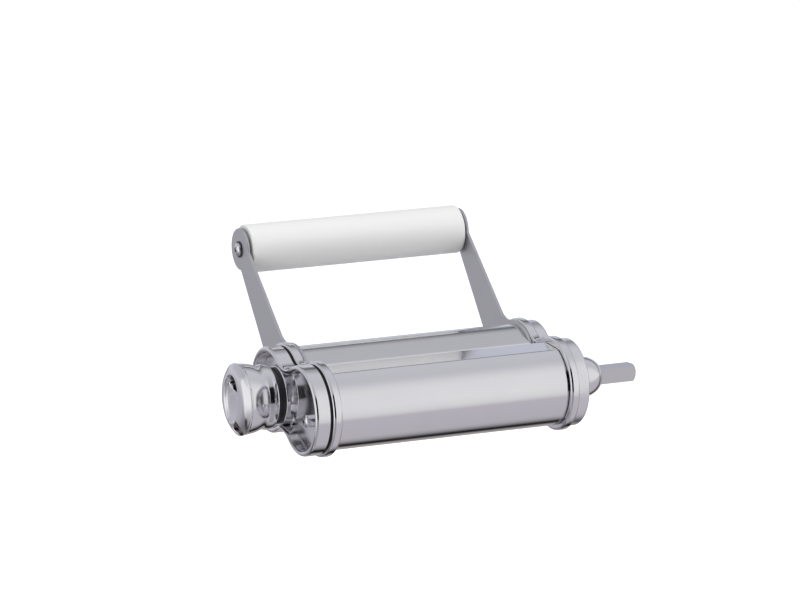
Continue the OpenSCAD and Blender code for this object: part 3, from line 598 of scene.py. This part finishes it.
def front_cover():
    """Round cover with a flat top that ends in the front feed lip."""
    s = sizes()
    bend, lip = s.bend_round / MM, s.lip_round / MM
    crest_y, edge = 3.0, (8.2, 12.92)
    half = FRAME_IN_X - 0.4
    down = math.degrees(math.atan2(COVER_TOP - edge[1], edge[0] - crest_y))
    tail = lip * math.tan(math.radians(down / 2))
    bm = bmesh.new()
    edges = path_loop(bm, -half, cover_foot(COVER_R), front_arcs(COVER_R, COVER_TOP, bend)
                      + [(crest_y - tail, COVER_TOP), (crest_y - tail, COVER_TOP - lip, -down, 6), edge],
                      closed=False)
    close_cover(bm, edges, half, "front_cover")


def rear_cover():
    """Round cover behind, that rises to the rear feed lip and turns down into the slot."""
    lip = sizes().lip_round / MM
    r, foot_y, end = 24.4, 16.2, 109
    crest, edge = (19.4, 18.64), (18.8, 12.2)
    half = BOSS_X - 0.1
    foot = (REAR_Y - foot_y, -math.sqrt(r * r - foot_y ** 2))
    begin = math.degrees(math.atan2(foot[1], foot[0] - REAR_Y))
    leave = (REAR_Y + r * math.cos(math.radians(end)), r * math.sin(math.radians(end)))
    bm = bmesh.new()
    edges = path_loop(bm, -half, foot, [(REAR_Y, 0, end - begin, sizes().arc_steps)]
                      + rounded([leave, crest, edge], [0, lip, 0], 6)[1:], closed=False)
    close_cover(bm, edges, half, "rear_cover")


def close_cover(bm, edges, half, node):
    """Draws a cover's outline across the machine and gives it its wall, inwards, with softened edges."""
    extrude_x(bm, edges, 2 * half)
    bmesh.ops.recalc_face_normals(bm, faces=bm.faces)
    obj = close_piece(bm, node + "_sheet", "housing", "polished_chrome", [node], look="satin_chrome",
                      solid=False)
    wall = obj.modifiers.new("Wall", "SOLIDIFY")
    wall.thickness = COVER_WALL * MM
    wall.offset = -1.0
    wall.use_even_offset = True
    soft = obj.modifiers.new("Edges", "BEVEL")
    soft.width = 0.00025
    soft.segments = 2
    soft.limit_method = "ANGLE"
    soft.angle_limit = math.radians(50)
    even_normals(obj)


def left_cap():
    """Shell with a raised rim, a sunk floor, a flared neck under the knob and a pillar under each screw."""
    r = sizes().rim_round / MM
    corner, skirt = 1.0, 1.8
    bm = bmesh.new()
    stations = [(CAP_FOOT_X, skirt), (CAP_FOOT_X, 0.0), (CAP_RIM_X - r - 0.02, 0.0)]
    stations += round_stations(CAP_RIM_X - r, r, r, -90, 90, 12)[1:]
    stations += round_stations(CAP_FLOOR_X + corner, 2 * r + corner, corner, -90, -180, 4)
    lobed_shell(bm, stations, LEFT_CAP_LOBES, first=False)
    neck_r, neck_foot_r, bore, root = 17.7, 19.2, 7.0, CAP_FLOOR_X - 0.2
    turned(bm, [(19.3, root), (19.15, CAP_FLOOR_X + 0.03), (19.05, CAP_FLOOR_X + 0.15),
                (18.95, CAP_FLOOR_X + 0.5), (18.15, CAP_RIM_X - 0.7), (18.0, CAP_RIM_X - 0.25),
                (neck_r, CAP_RIM_X), (bore, CAP_RIM_X), (bore, CAP_FLOOR_X - 0.5)], KNOB_Y, 0)
    pillar_r, hole_r = 3.7, 1.2
    for y, z in LEFT_SCREWS:
        turned(bm, [(pillar_r, root), (pillar_r, SCREW_SEAT_X), (hole_r, SCREW_SEAT_X), (hole_r, root),
                    (pillar_r, root)], y, z, 48)
    flip_side(bm, True)
    obj = close_piece(bm, "left_cap_shell", "housing", "polished_chrome", ["left_end_cap"])
    obj.data.materials.append(finish("hollow_chrome"))
    for face in obj.data.polygons:
        y, z, n = face.center.y / MM, face.center.z / MM, face.normal
        middle = FRONT_Y if y < WAIST_Y else REAR_Y
        faces_in = (y - middle) * n.y + z * n.z < 0 and math.hypot(y - KNOB_Y, z) > neck_foot_r
        on_floor = n.x < -0.95 and station_of(face) < CAP_FLOOR_X + 0.2
        face.material_index = int(faces_in or on_floor)
    even_normals(obj)


def right_cap():
    """Plain shell with a rounded edge."""
    r = sizes().cap_round / MM
    bm = bmesh.new()
    foot, skirt, chamfer = FRAME_OUT_X + 0.12, 1.8, 0.25
    stations = [(foot, skirt), (foot, chamfer), (foot + chamfer, 0.0)]
    stations += round_stations(RIGHT_CAP_X - r, r, r, -90, 0, 7)
    lobed_shell(bm, stations, RIGHT_CAP_LOBES, first=False)
    obj = close_piece(bm, "right_cap_shell", "housing", "polished_chrome", ["right_end_cap"],
                      look="pale_chrome")
    even_normals(obj)


def drive_nose():
    """Collar and round nose with the shank's hole."""
    collar_r, nose_r, bore, root = 17.0, 12.5, 7.05, RIGHT_CAP_X - 0.5
    bm = bmesh.new()
    dome = dome_profile(nose_r, SEAT_X + 8, 13.3, 55.7, 14)
    turned(bm, rounded([(bore, root), (collar_r, root), (collar_r, SEAT_X), (nose_r, SEAT_X), dome[0]],
                       [0, 0, 0.5, 0.6, 0], 5) + dome[1:] + [(bore, root)], 0, 0)
    obj = close_piece(bm, "drive_nose_sleeve", "housing", "polished_chrome", ["drive_nose"],
                      look="bright_steel")
    even_normals(obj)


def index_ring():
    """Collar with a groove, between the neck and the knob, made black as painted shade for the gap there."""
    outer, groove, bore, foot = 17.0, 16.5, 5.6, CAP_RIM_X + 0.02
    bm = bmesh.new()
    low, high, end = CAP_RIM_X + 1.6, CAP_RIM_X + 3.2, CAP_RIM_X + 5
    profile = [(bore, foot), (outer, foot), (outer, low), (groove, low), (groove, high), (outer, high),
               (outer, end), (bore, end), (bore, foot)]
    turned(bm, rounded(profile, [0, 0.2, 0, 0, 0, 0, 0.4, 0, 0], 3), KNOB_Y, 0)
    flip_side(bm, True)
    # The black finish here is painted shade for the gap between the cap's neck and the knob.
    close_piece(bm, "painted_shade_collar", "housing", "black_plastic", ["index_ring"])


def screw(bm, x0, x1, y, z, head_r, head_h, shank_r, tilt):
    """Pan screw with a domed head from x0 outwards, a shank inwards to x1 and a cross recess."""
    head = bmesh.new()
    dome = dome_profile(head_r, x0 + head_h * 0.25, head_h * 0.75, 90, 10)
    turned(head, [(0, x1), (shank_r, x1), (shank_r, x0 + 0.02), (head_r, x0 + 0.02)] + dome[:-1]
           + [(0, x0 + head_h)], y, z, 40)
    half_width, half_length = head_r * 0.13, head_r * 0.56
    for turn in (0, 90):
        blade = bmesh.new()
        box_cutter(blade, (x0 + head_h * 0.42, y - half_width, z - half_length),
                   (x0 + head_h * 1.4, y + half_width, z + half_length))
        bmesh.ops.rotate(blade, verts=blade.verts, cent=(0, y, z),
                         matrix=Matrix.Rotation(math.radians(turn + tilt), 3, "X"))
        head = cut(head, blade)
    join(bm, head)


def cap_screws(left):
    spots, seat = (LEFT_SCREWS, SCREW_SEAT_X) if left else (RIGHT_SCREWS, RIGHT_CAP_X)
    bm = bmesh.new()
    for i, (y, z) in enumerate(spots):
        screw(bm, seat, FRAME_IN_X + 1, y, z, head_r=4.0, head_h=2.0, shank_r=1.5, tilt=20 + 35 * i)
    side = flip_side(bm, left)
    close_piece(bm, side + "_cap_screw_pair", "housing", "bright_screws", [side + "_cap_screws"])


def arm_screw(left):
    bm = bmesh.new()
    screw(bm, FRAME_IN_X + 0.5, BOSS_X - 6, *HEAD, head_r=4.2, head_h=2.2, shank_r=2.0, tilt=20)
    side = flip_side(bm, left)
    close_piece(bm, side + "_arm_pan_screw", "support_frame", "bright_screws", [side + "_arm_screw"])


def arm_flank(root):
    """Fillet centre by the ring, its end on the flank, as lengths along and off the arm, and its angles."""
    taper = math.atan((root - ARM_NECK) / (ARM_NECK_AT - ARM_RING_R))
    c = ARM_NECK_AT * math.sin(taper) + ARM_NECK * math.cos(taper) + ARM_FILLET
    q = math.sqrt((ARM_RING_R + ARM_FILLET) ** 2 - c * c)
    a = c * math.sin(taper) + q * math.cos(taper)
    b = c * math.cos(taper) - q * math.sin(taper)
    end = (a - ARM_FILLET * math.sin(taper), b - ARM_FILLET * math.cos(taper))
    opening = math.degrees(math.atan2(b, a))
    return (a, b), end, opening, 90 - opening - math.degrees(taper)


def arm_path():
    """Moves round the arm plate's outline, from its ring to its head and back."""
    def place(along, off):
        return (REAR_Y + along * math.cos(ARM_ANGLE) - off * math.sin(ARM_ANGLE),
                along * math.sin(ARM_ANGLE) + off * math.cos(ARM_ANGLE))
    front, front_end, front_opening, front_bend = arm_flank(ARM_FRONT)
    rear, _, rear_opening, rear_bend = arm_flank(ARM_REAR)
    on_ring = ARM_RING_R / (ARM_RING_R + ARM_FILLET)
    back = ARM_LENGTH - ARM_NECK_AT
    reach = math.hypot(back, ARM_NECK)
    on_head = math.degrees(math.acos(-back / reach))
    meet = place(ARM_LENGTH - back * ARM_HEAD_R / reach, -ARM_NECK * ARM_HEAD_R / reach)
    round_ring = (REAR_Y, 0, 360 - front_opening - rear_opening, 96)
    return place(front[0] * on_ring, front[1] * on_ring), [
        round_ring, (*place(rear[0], -rear[1]), -rear_bend, 12), meet,
        (*HEAD, 2 * on_head, 48), place(*front_end), (*place(*front), -front_bend, 12)]


def support_arm(left):
    """Flat plate from the ring round the boss to the roller's head."""
    inner_x, ring_bore, thickness = BOSS_X + 0.1, 20.05, 1.8
    bm = bmesh.new()
    start, moves = arm_path()
    outer = path_loop(bm, inner_x, start, moves)
    inner = circle_loop(bm, inner_x, ring_bore, REAR_Y, 0, 96)
    bmesh.ops.triangle_fill(bm, edges=outer + inner, use_beauty=True)
    bmesh.ops.dissolve_limit(bm, angle_limit=0.01, verts=bm.verts, edges=bm.edges)
    out = bmesh.ops.extrude_face_region(bm, geom=bm.faces[:])
    verts = [g for g in out["geom"] if isinstance(g, bmesh.types.BMVert)]
    bmesh.ops.translate(bm, verts=verts, vec=(thickness, 0, 0))
    bmesh.ops.recalc_face_normals(bm, faces=bm.faces)
    rim = [e for e in bm.edges if len(e.link_faces) == 2 and e.calc_face_angle(0) > 1.0]
    bmesh.ops.bevel(bm, geom=rim, offset=sizes().arm_round / MM, segments=3, affect="EDGES", profile=0.5,
                    material=-1, clamp_overlap=True)
    side = flip_side(bm, left)
    obj = close_piece(bm, side + "_arm_plate", "support_frame", "brushed_steel", [side + "_support_arm"])
    even_normals(obj)


def support_roller():
    r, bore, h = ROLLER_R, ROLLER_BORE, ROLLER_HALF
    bm = bmesh.new()
    profile = [(bore, -h), (r, -h), (r, h), (bore, h), (bore, -h)]
    turned(bm, rounded(profile, [0, 0.8, 0.8, 0.2, 0]), *HEAD)
    close_piece(bm, "support_roller_tube", "support_roller_set", "white_plastic", ["support_roller"])


def roller_plug(left):
    """End plug with a ring groove and a small boss round the axle."""
    root, face, floor, boss = ROLLER_HALF - 8, ROLLER_HALF - 0.4, ROLLER_HALF - 1.6, ROLLER_HALF + 1.4
    bm = bmesh.new()
    profile = [(AXLE_BORE, root), (ROLLER_BORE, root), (ROLLER_BORE, face), (9.6, face), (8.6, floor),
               (6.6, floor), (5.5, face), (5.5, boss), (AXLE_BORE, boss), (AXLE_BORE, root)]
    turned(bm, rounded(profile, [0, 0, 0.3, 0.4, 0.4, 0.4, 0.3, 0.3, 0.1, 0], 3), *HEAD, 72)
    side = flip_side(bm, left)
    close_piece(bm, side + "_roller_end", "support_roller_set", "white_plastic", [side + "_roller_plug"])


def smooth_step(a, b, v):
    t = min(1.0, max(0.0, (v - a) / (b - a)))
    return t * t * (3 - 2 * t)


def knob_body():
    """Bead, waist, flare, grooved rim and domed end with its dish and finger scoops; the scoops' deep faces
    carry painted shade.
    """
    bore, step, rings = 5.1, 0.35, 62
    profile = [(bore, KNOB_FOOT_X)]
    profile += [(r, KNOB_FOOT_X + x) for r, x in KNOB_SIDE]
    profile += [(r, KNOB_RIM_X + x) for r, x in KNOB_RIM]
    radii = [step * (rings - k) for k in range(rings + 1)]
    profile += [(r, KNOB_RIM_X + dome_rise(r)) for r in radii]
    bm = bmesh.new()
    turned(bm, profile, KNOB_Y, 0, 240)
    for v in bm.verts:
        if v.co.x > KNOB_RIM_X - 0.2:
            v.co.x -= end_hollow(v.co.y - KNOB_Y, v.co.z)
    flip_side(bm, True)
    obj = close_piece(bm, "knob_shell", "knob", "polished_chrome", ["thickness_knob"], look="knob_chrome")
    # The deep faces of the finger scoops take the dark chrome, as painted shade in the scoops.
    obj.data.materials.append(finish("painted_shade_chrome"))
    for face in obj.data.polygons:
        y, z = face.center.y / MM - KNOB_Y, face.center.z / MM
        face.material_index = int(station_of(face) > KNOB_RIM_X - 4 and scoops(y, z) > 0.3)
    even_normals(obj)


def dome_rise(r):
    """Height of the knob's domed end above its rim."""
    shoulder, height, crown, crown_r = 8.5, 3.42, 0.08, 22
    t = min(1.0, max(0.0, (KNOB_EDGE_R - r) / shoulder))
    return height * (1 - (1 - t) ** 2.4) + crown * (1 - (r / crown_r) ** 2)


def scoops(y, z):
    """1 inside either finger scoop of the knob's end, 0 away from them."""
    return max(smooth_step(1.0, deep, math.hypot((y - mid_y) / half_y, (z - mid_z) / half_z))
               for mid_y, mid_z, half_y, half_z, deep in SCOOPS)


def end_hollow(y, z):
    """Depth of the oval dish and the finger scoops in the knob's end."""
    half_y, half_z, edge_depth, bowl_depth = 10.8, 14.6, 1.5, 0.8
    across = math.hypot((y - DISH_Y) / half_y, z / half_z)
    dish = edge_depth * smooth_step(1.03, 0.86, across) + bowl_depth * max(0.0, 1 - across ** 2)
    fade = smooth_step(KNOB_EDGE_R, 20.2, math.hypot(y, z))
    return (dish + sizes().pocket_depth / MM * scoops(y, z)) * fade


def knob_face():
    """The oval plate that lines the dish of the knob's end, below its upper scoop."""
    rings, half_y, half_z, below, proud = 40, 8.8, 8.6, 4.6, 0.12
    bm = bmesh.new()
    turned(bm, [(k / rings, KNOB_END_X) for k in range(rings + 1)], 0, 0, 120)
    for v in bm.verts:
        y, z = v.co.y * half_y + DISH_Y, v.co.z * half_z - below
        sunk_edge = 0.3 * smooth_step(0.9, 1.0, math.hypot(v.co.y, v.co.z))
        rise = dome_rise(math.hypot(y, z)) - end_hollow(y, z)
        v.co = (KNOB_RIM_X + rise + proud - sunk_edge, y + KNOB_Y, z)
    flip_side(bm, True)
    bmesh.ops.recalc_face_normals(bm, faces=bm.faces)
    if sum(f.normal.x for f in bm.faces) > 0:
        bmesh.ops.reverse_faces(bm, faces=bm.faces)
    obj = close_piece(bm, "knob_grip_face", "knob", "polished_chrome", ["knob_face"], look="face_chrome",
                      angle=60, solid=False)
    obj.data.shade_smooth()


# ---------- operators ----------
def run_all(operator, jobs):
    for job in jobs:
        job()
    operator.report({"INFO"}, operator.bl_label + " done")
    return {"FINISHED"}


class ROLLER_OT_frames(bpy.types.Operator):
    """Build the two polished side frames"""
    bl_idname = "pasta_roller.frames"
    bl_label = "Side Frames"

    def execute(self, context):
        return run_all(self, [lambda: side_frame(True), lambda: side_frame(False)])


class ROLLER_OT_covers(bpy.types.Operator):
    """Build the front and rear covers"""
    bl_idname = "pasta_roller.covers"
    bl_label = "Covers"

    def execute(self, context):
        return run_all(self, [front_cover, rear_cover])


class ROLLER_OT_caps(bpy.types.Operator):
    """Build the end caps with their screws, and the index ring"""
    bl_idname = "pasta_roller.caps"
    bl_label = "End Caps"

    def execute(self, context):
        screws = [lambda: cap_screws(True), lambda: cap_screws(False)]
        return run_all(self, [left_cap, right_cap, *screws, index_ring])


class ROLLER_OT_nose(bpy.types.Operator):
    """Build the drive nose"""
    bl_idname = "pasta_roller.nose"
    bl_label = "Drive Nose"

    def execute(self, context):
        return run_all(self, [drive_nose])


class ROLLER_OT_knob(bpy.types.Operator):
    """Build the thickness knob and its grip face"""
    bl_idname = "pasta_roller.knob"
    bl_label = "Thickness Knob"

    def execute(self, context):
        return run_all(self, [knob_body, knob_face])


class ROLLER_OT_arms(bpy.types.Operator):
    """Build the support arms, their screws and the white roller"""
    bl_idname = "pasta_roller.arms"
    bl_label = "Support Arms"

    def execute(self, context):
        jobs = [support_roller]
        for left in (True, False):
            jobs += [lambda s=left, make=make: make(s) for make in (support_arm, arm_screw, roller_plug)]
        return run_all(self, jobs)


class ROLLER_OT_inner_finishes(bpy.types.Operator):
    """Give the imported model's own nodes their finishes"""
    bl_idname = "pasta_roller.inner_finishes"
    bl_label = "Inner Finishes"

    def execute(self, context):
        slots = {p["node"]: p["material_slot"] for p in frame["record"]["subparts"]}
        for name, obj in frame["nodes"].items():
            material = finish(SLOT_FINISH[slots[name]])
            obj.data.materials.clear()
            obj.data.materials.append(material)
        return {"FINISHED"}


class ROLLER_OT_stage(bpy.types.Operator):
    """Set the camera, soft light and pale floor"""
    bl_idname = "pasta_roller.stage"
    bl_label = "Stage"

    def execute(self, context):
        return run_all(self, [place_camera, place_lights, place_floor, paint_world])


def place_camera():
    turn, rise, roll = math.radians(-25.04), math.radians(15.85), math.radians(1.483)
    back = Vector((math.sin(turn) * math.cos(rise), -math.cos(turn) * math.cos(rise), math.sin(rise)))
    side = Vector((math.cos(turn), math.sin(turn), 0.0))
    up = back.cross(side)
    right = side * math.cos(roll) + up * math.sin(roll)
    above = -side * math.sin(roll) + up * math.cos(roll)
    aim, distance, shift_left, shift_up = Vector((-0.0907, -0.006, 0.0)), 2.9, 0.023, 0.0574
    spot = aim + back * distance - right * shift_left + above * shift_up
    data = bpy.data.cameras.new("view_camera")
    data.sensor_width, data.lens = 36.0, 217.8
    data.clip_start, data.clip_end = 0.05, 60.0
    cam = bpy.data.objects.new("view_camera", data)
    basis = Matrix((right, above, back)).transposed().to_4x4()
    cam.matrix_world = Matrix.Translation(spot) @ basis
    bpy.context.scene.collection.objects.link(cam)
    bpy.context.scene.camera = cam
    bpy.context.scene.view_settings.view_transform = "Standard"


def soft_light(name, spot, aim, size, power):
    data = bpy.data.lights.new(name, "AREA")
    data.shape, data.size, data.size_y, data.energy = "RECTANGLE", size[0], size[1], power
    obj = bpy.data.objects.new(name, data)
    obj.location = spot
    obj.rotation_euler = (Vector(aim) - Vector(spot)).to_track_quat("-Z", "Y").to_euler()
    obj.visible_glossy = False
    bpy.context.scene.collection.objects.link(obj)


def place_lights():
    mid = (-0.09, 0.03, 0.02)
    soft_light("key_softbox", (0.7, -1.1, 1.3), mid, (1.2, 1.0), 12.0)
    soft_light("top_softbox", (-0.3, 0.3, 1.7), mid, (1.4, 1.0), 7.0)
    soft_light("left_fill", (-1.6, -0.7, 0.6), mid, (1.2, 1.2), 6.0)


def place_floor():
    bm = bmesh.new()
    bmesh.ops.create_grid(bm, x_segments=4, y_segments=4, size=12.0)
    bmesh.ops.translate(bm, verts=bm.verts, vec=(0, 0, -0.22))
    mesh = bpy.data.meshes.new("pale_floor")
    bm.to_mesh(mesh)
    bm.free()
    obj = bpy.data.objects.new("pale_floor", mesh)
    bpy.context.scene.collection.objects.link(obj)
    mat = bpy.data.materials.new("pale_floor")
    mat.use_nodes = True
    graph = Graph(mat.node_tree)
    shader = graph.nodes["Principled BSDF"]
    graph.feed(shader, {"Base Color": (*colours().floor, 1), "Roughness": 0.9, "Specular IOR Level": 0.0})
    light = graph.add("ShaderNodeEmission", {"Strength": 0.62})
    both = graph.add("ShaderNodeAddShader", {0: shader.outputs[0], 1: light.outputs[0]})
    path = graph.add("ShaderNodeLightPath").outputs
    back = graph.add("ShaderNodeNewGeometry").outputs["Backfacing"]
    seen = graph.mix_shader(path["Is Camera Ray"], shader.outputs[0], both.outputs[0])
    hide = graph.maths("MAXIMUM", path["Is Glossy Ray"], back)
    clear = graph.add("ShaderNodeBsdfTransparent")
    final = graph.mix_shader(hide, seen, clear.outputs[0])
    graph.feed(graph.nodes["Material Output"], {"Surface": final})
    mesh.materials.append(mat)


# Studio tone round the X axis: degrees from the front (0) over the top (90), and colour
STUDIO = [
    (-180, (0.42, 0.41, 0.42)), (-160, (0.44, 0.41, 0.40)), (-132, (0.36, 0.33, 0.32)),
    (-126, (0.14, 0.13, 0.13)), (-121, (0.01, 0.01, 0.01)), (-113, (0.01, 0.01, 0.01)),
    (-107, (0.15, 0.145, 0.15)), (-98, (0.36, 0.35, 0.37)), (-86, (0.50, 0.48, 0.52)),
    (-27, (0.535, 0.51, 0.555)), (-22, (0.68, 0.67, 0.68)), (-12, (0.77, 0.77, 0.775)),
    (3, (0.82, 0.82, 0.825)), (42, (0.80, 0.80, 0.81)), (54, (0.74, 0.74, 0.76)), (68, (0.62, 0.62, 0.65)),
    (78, (0.575, 0.575, 0.61)), (112, (0.60, 0.60, 0.64)), (132, (0.34, 0.34, 0.36)),
    (141, (0.10, 0.10, 0.11)), (150, (0.42, 0.43, 0.47)), (160, (0.62, 0.65, 0.74)),
    (180, (0.58, 0.61, 0.69))]

# Tone of the dark wall in front on the left, and of the grey table under it, by the same angle
WALL = [
    (-180, (0.10, 0.10, 0.11)), (-149, (0.02, 0.02, 0.02)), (-120, (0.22, 0.21, 0.23)),
    (-60, (0.38, 0.37, 0.40)), (-14, (0.30, 0.29, 0.31)), (-11, (0.006, 0.006, 0.007)),
    (41, (0.008, 0.008, 0.008)), (48, (0.45, 0.45, 0.48)), (90, (0.56, 0.56, 0.60)),
    (180, (0.5, 0.5, 0.55))]

# Tones from low to high: the soft panel at the far left, and the screen behind on the left
PANEL = [(0.0, (0.45, 0.44, 0.47)), (0.15, (0.80, 0.80, 0.82)), (0.3, (0.95, 0.95, 0.96)),
         (0.85, (0.9, 0.9, 0.92)), (1.0, (0.6, 0.6, 0.64))]
SCREEN = [(0.0, (0.20, 0.19, 0.21)), (0.3, (0.40, 0.39, 0.43)), (0.42, (0.52, 0.52, 0.57)),
          (0.7, (0.62, 0.62, 0.67)), (1.0, (0.5, 0.5, 0.55))]


def between(graph, socket, low, high):
    """A smooth 0 to 1 as the socket's value goes from low to high."""
    ends = (0.0, 1.0) if low < high else (1.0, 0.0)
    return graph.spread(socket, min(low, high), max(low, high), *ends, interpolation_type="SMOOTHSTEP")


def graded(graph, socket, stops):
    """Colour from a ramp with the stops given."""
    node = graph.add("ShaderNodeValToRGB", {"Fac": socket})
    fill_ramp(node.color_ramp, stops)
    return node.outputs["Color"]


def by_angle(tones):
    """Ramp stops, from 0 to 1, for tones given by degrees from -180 to 180."""
    return [((degrees + 180) / 360, colour) for degrees, colour in tones]


def studio_tone(graph):
    """Colour of the studio by direction: the graded room, the wall, the screen and the panel."""
    coords = graph.add("ShaderNodeTexCoord")
    lean = graph.add("ShaderNodeMapping", {"Vector": coords.outputs["Generated"],
                                           "Rotation": (math.radians(4.6), 0, 0)})
    parts = graph.add("ShaderNodeSeparateXYZ", {0: lean.outputs["Vector"]}).outputs
    x, y, z = parts["X"], parts["Y"], parts["Z"]
    angle = graph.maths("ARCTAN2", z, graph.maths("MULTIPLY", y, -1.0))
    turn = graph.spread(angle, -math.pi, math.pi)
    wall = graph.maths("MULTIPLY", between(graph, x, 0.31, 0.23), between(graph, x, -0.82, -0.74))
    wall = graph.maths("MULTIPLY", wall, between(graph, y, 0.02, -0.08))
    screen = graph.maths("MULTIPLY", between(graph, x, -0.05, -0.25), between(graph, y, 0.25, 0.5))
    panel = between(graph, x, -0.78, -0.86)
    tone = graph.mix(wall, graded(graph, turn, by_angle(STUDIO)), graded(graph, turn, by_angle(WALL)))
    tone = graph.mix(screen, tone, graded(graph, between(graph, z, -0.7, 0.5), SCREEN))
    return graph.mix(panel, tone, graded(graph, between(graph, z, -0.6, 0.6), PANEL))


def paint_world():
    """White to camera and transmission rays; all other rays see the graded studio."""
    world = bpy.data.worlds.new("studio")
    bpy.context.scene.world = world
    world.use_nodes = True
    graph = Graph(world.node_tree)
    plain = graph.nodes["Background"]
    graph.feed(plain, {"Color": (1, 1, 1, 1)})
    studio = graph.add("ShaderNodeBackground", {"Color": studio_tone(graph)})
    path = graph.add("ShaderNodeLightPath").outputs
    white = graph.maths("MAXIMUM", path["Is Camera Ray"], path["Is Transmission Ray"])
    mix = graph.mix_shader(white, studio.outputs[0], plain.outputs[0])
    graph.feed(graph.nodes["World Output"], {"Surface": mix})


def fill_ramp(ramp, stops):
    while len(ramp.elements) > 1:
        ramp.elements.remove(ramp.elements[-1])
    ramp.elements[0].position = stops[0][0]
    ramp.elements[0].color = (*stops[0][1], 1)
    for position, colour in stops[1:]:
        ramp.elements.new(position).color = (*colour, 1)


OPERATORS = (ROLLER_OT_frames, ROLLER_OT_covers, ROLLER_OT_caps, ROLLER_OT_nose, ROLLER_OT_knob,
             ROLLER_OT_arms, ROLLER_OT_inner_finishes, ROLLER_OT_stage)


class ROLLER_PT_panel(bpy.types.Panel):
    """Lists the pieces, sizes and colours"""
    bl_idname = "ROLLER_PT_panel"
    bl_label = "Pasta Roller"
    bl_space_type = "VIEW_3D"
    bl_region_type = "UI"
    bl_category = "Pasta Roller"

    def draw(self, context):
        for op in OPERATORS:
            self.layout.operator(op.bl_idname)
        for group in (context.scene.roller_sizes, context.scene.roller_colours):
            box = self.layout.box()
            for key in group.__annotations__:
                box.prop(group, key)


CLASSES = (RollerSizes, RollerColours, *OPERATORS, ROLLER_PT_panel)


def register():
    for c in CLASSES:
        bpy.utils.register_class(c)
    bpy.types.Scene.roller_sizes = PointerProperty(type=RollerSizes)
    bpy.types.Scene.roller_colours = PointerProperty(type=RollerColours)


def unregister():
    del bpy.types.Scene.roller_sizes
    del bpy.types.Scene.roller_colours
    for c in reversed(CLASSES):
        bpy.utils.unregister_class(c)


def main():
    register()
    for step in ("frames", "covers", "caps", "nose", "knob", "arms", "inner_finishes", "stage"):
        getattr(bpy.ops.pasta_roller, step)()
    bpy.context.view_layer.update()


if __name__ == "__main__":
    main()
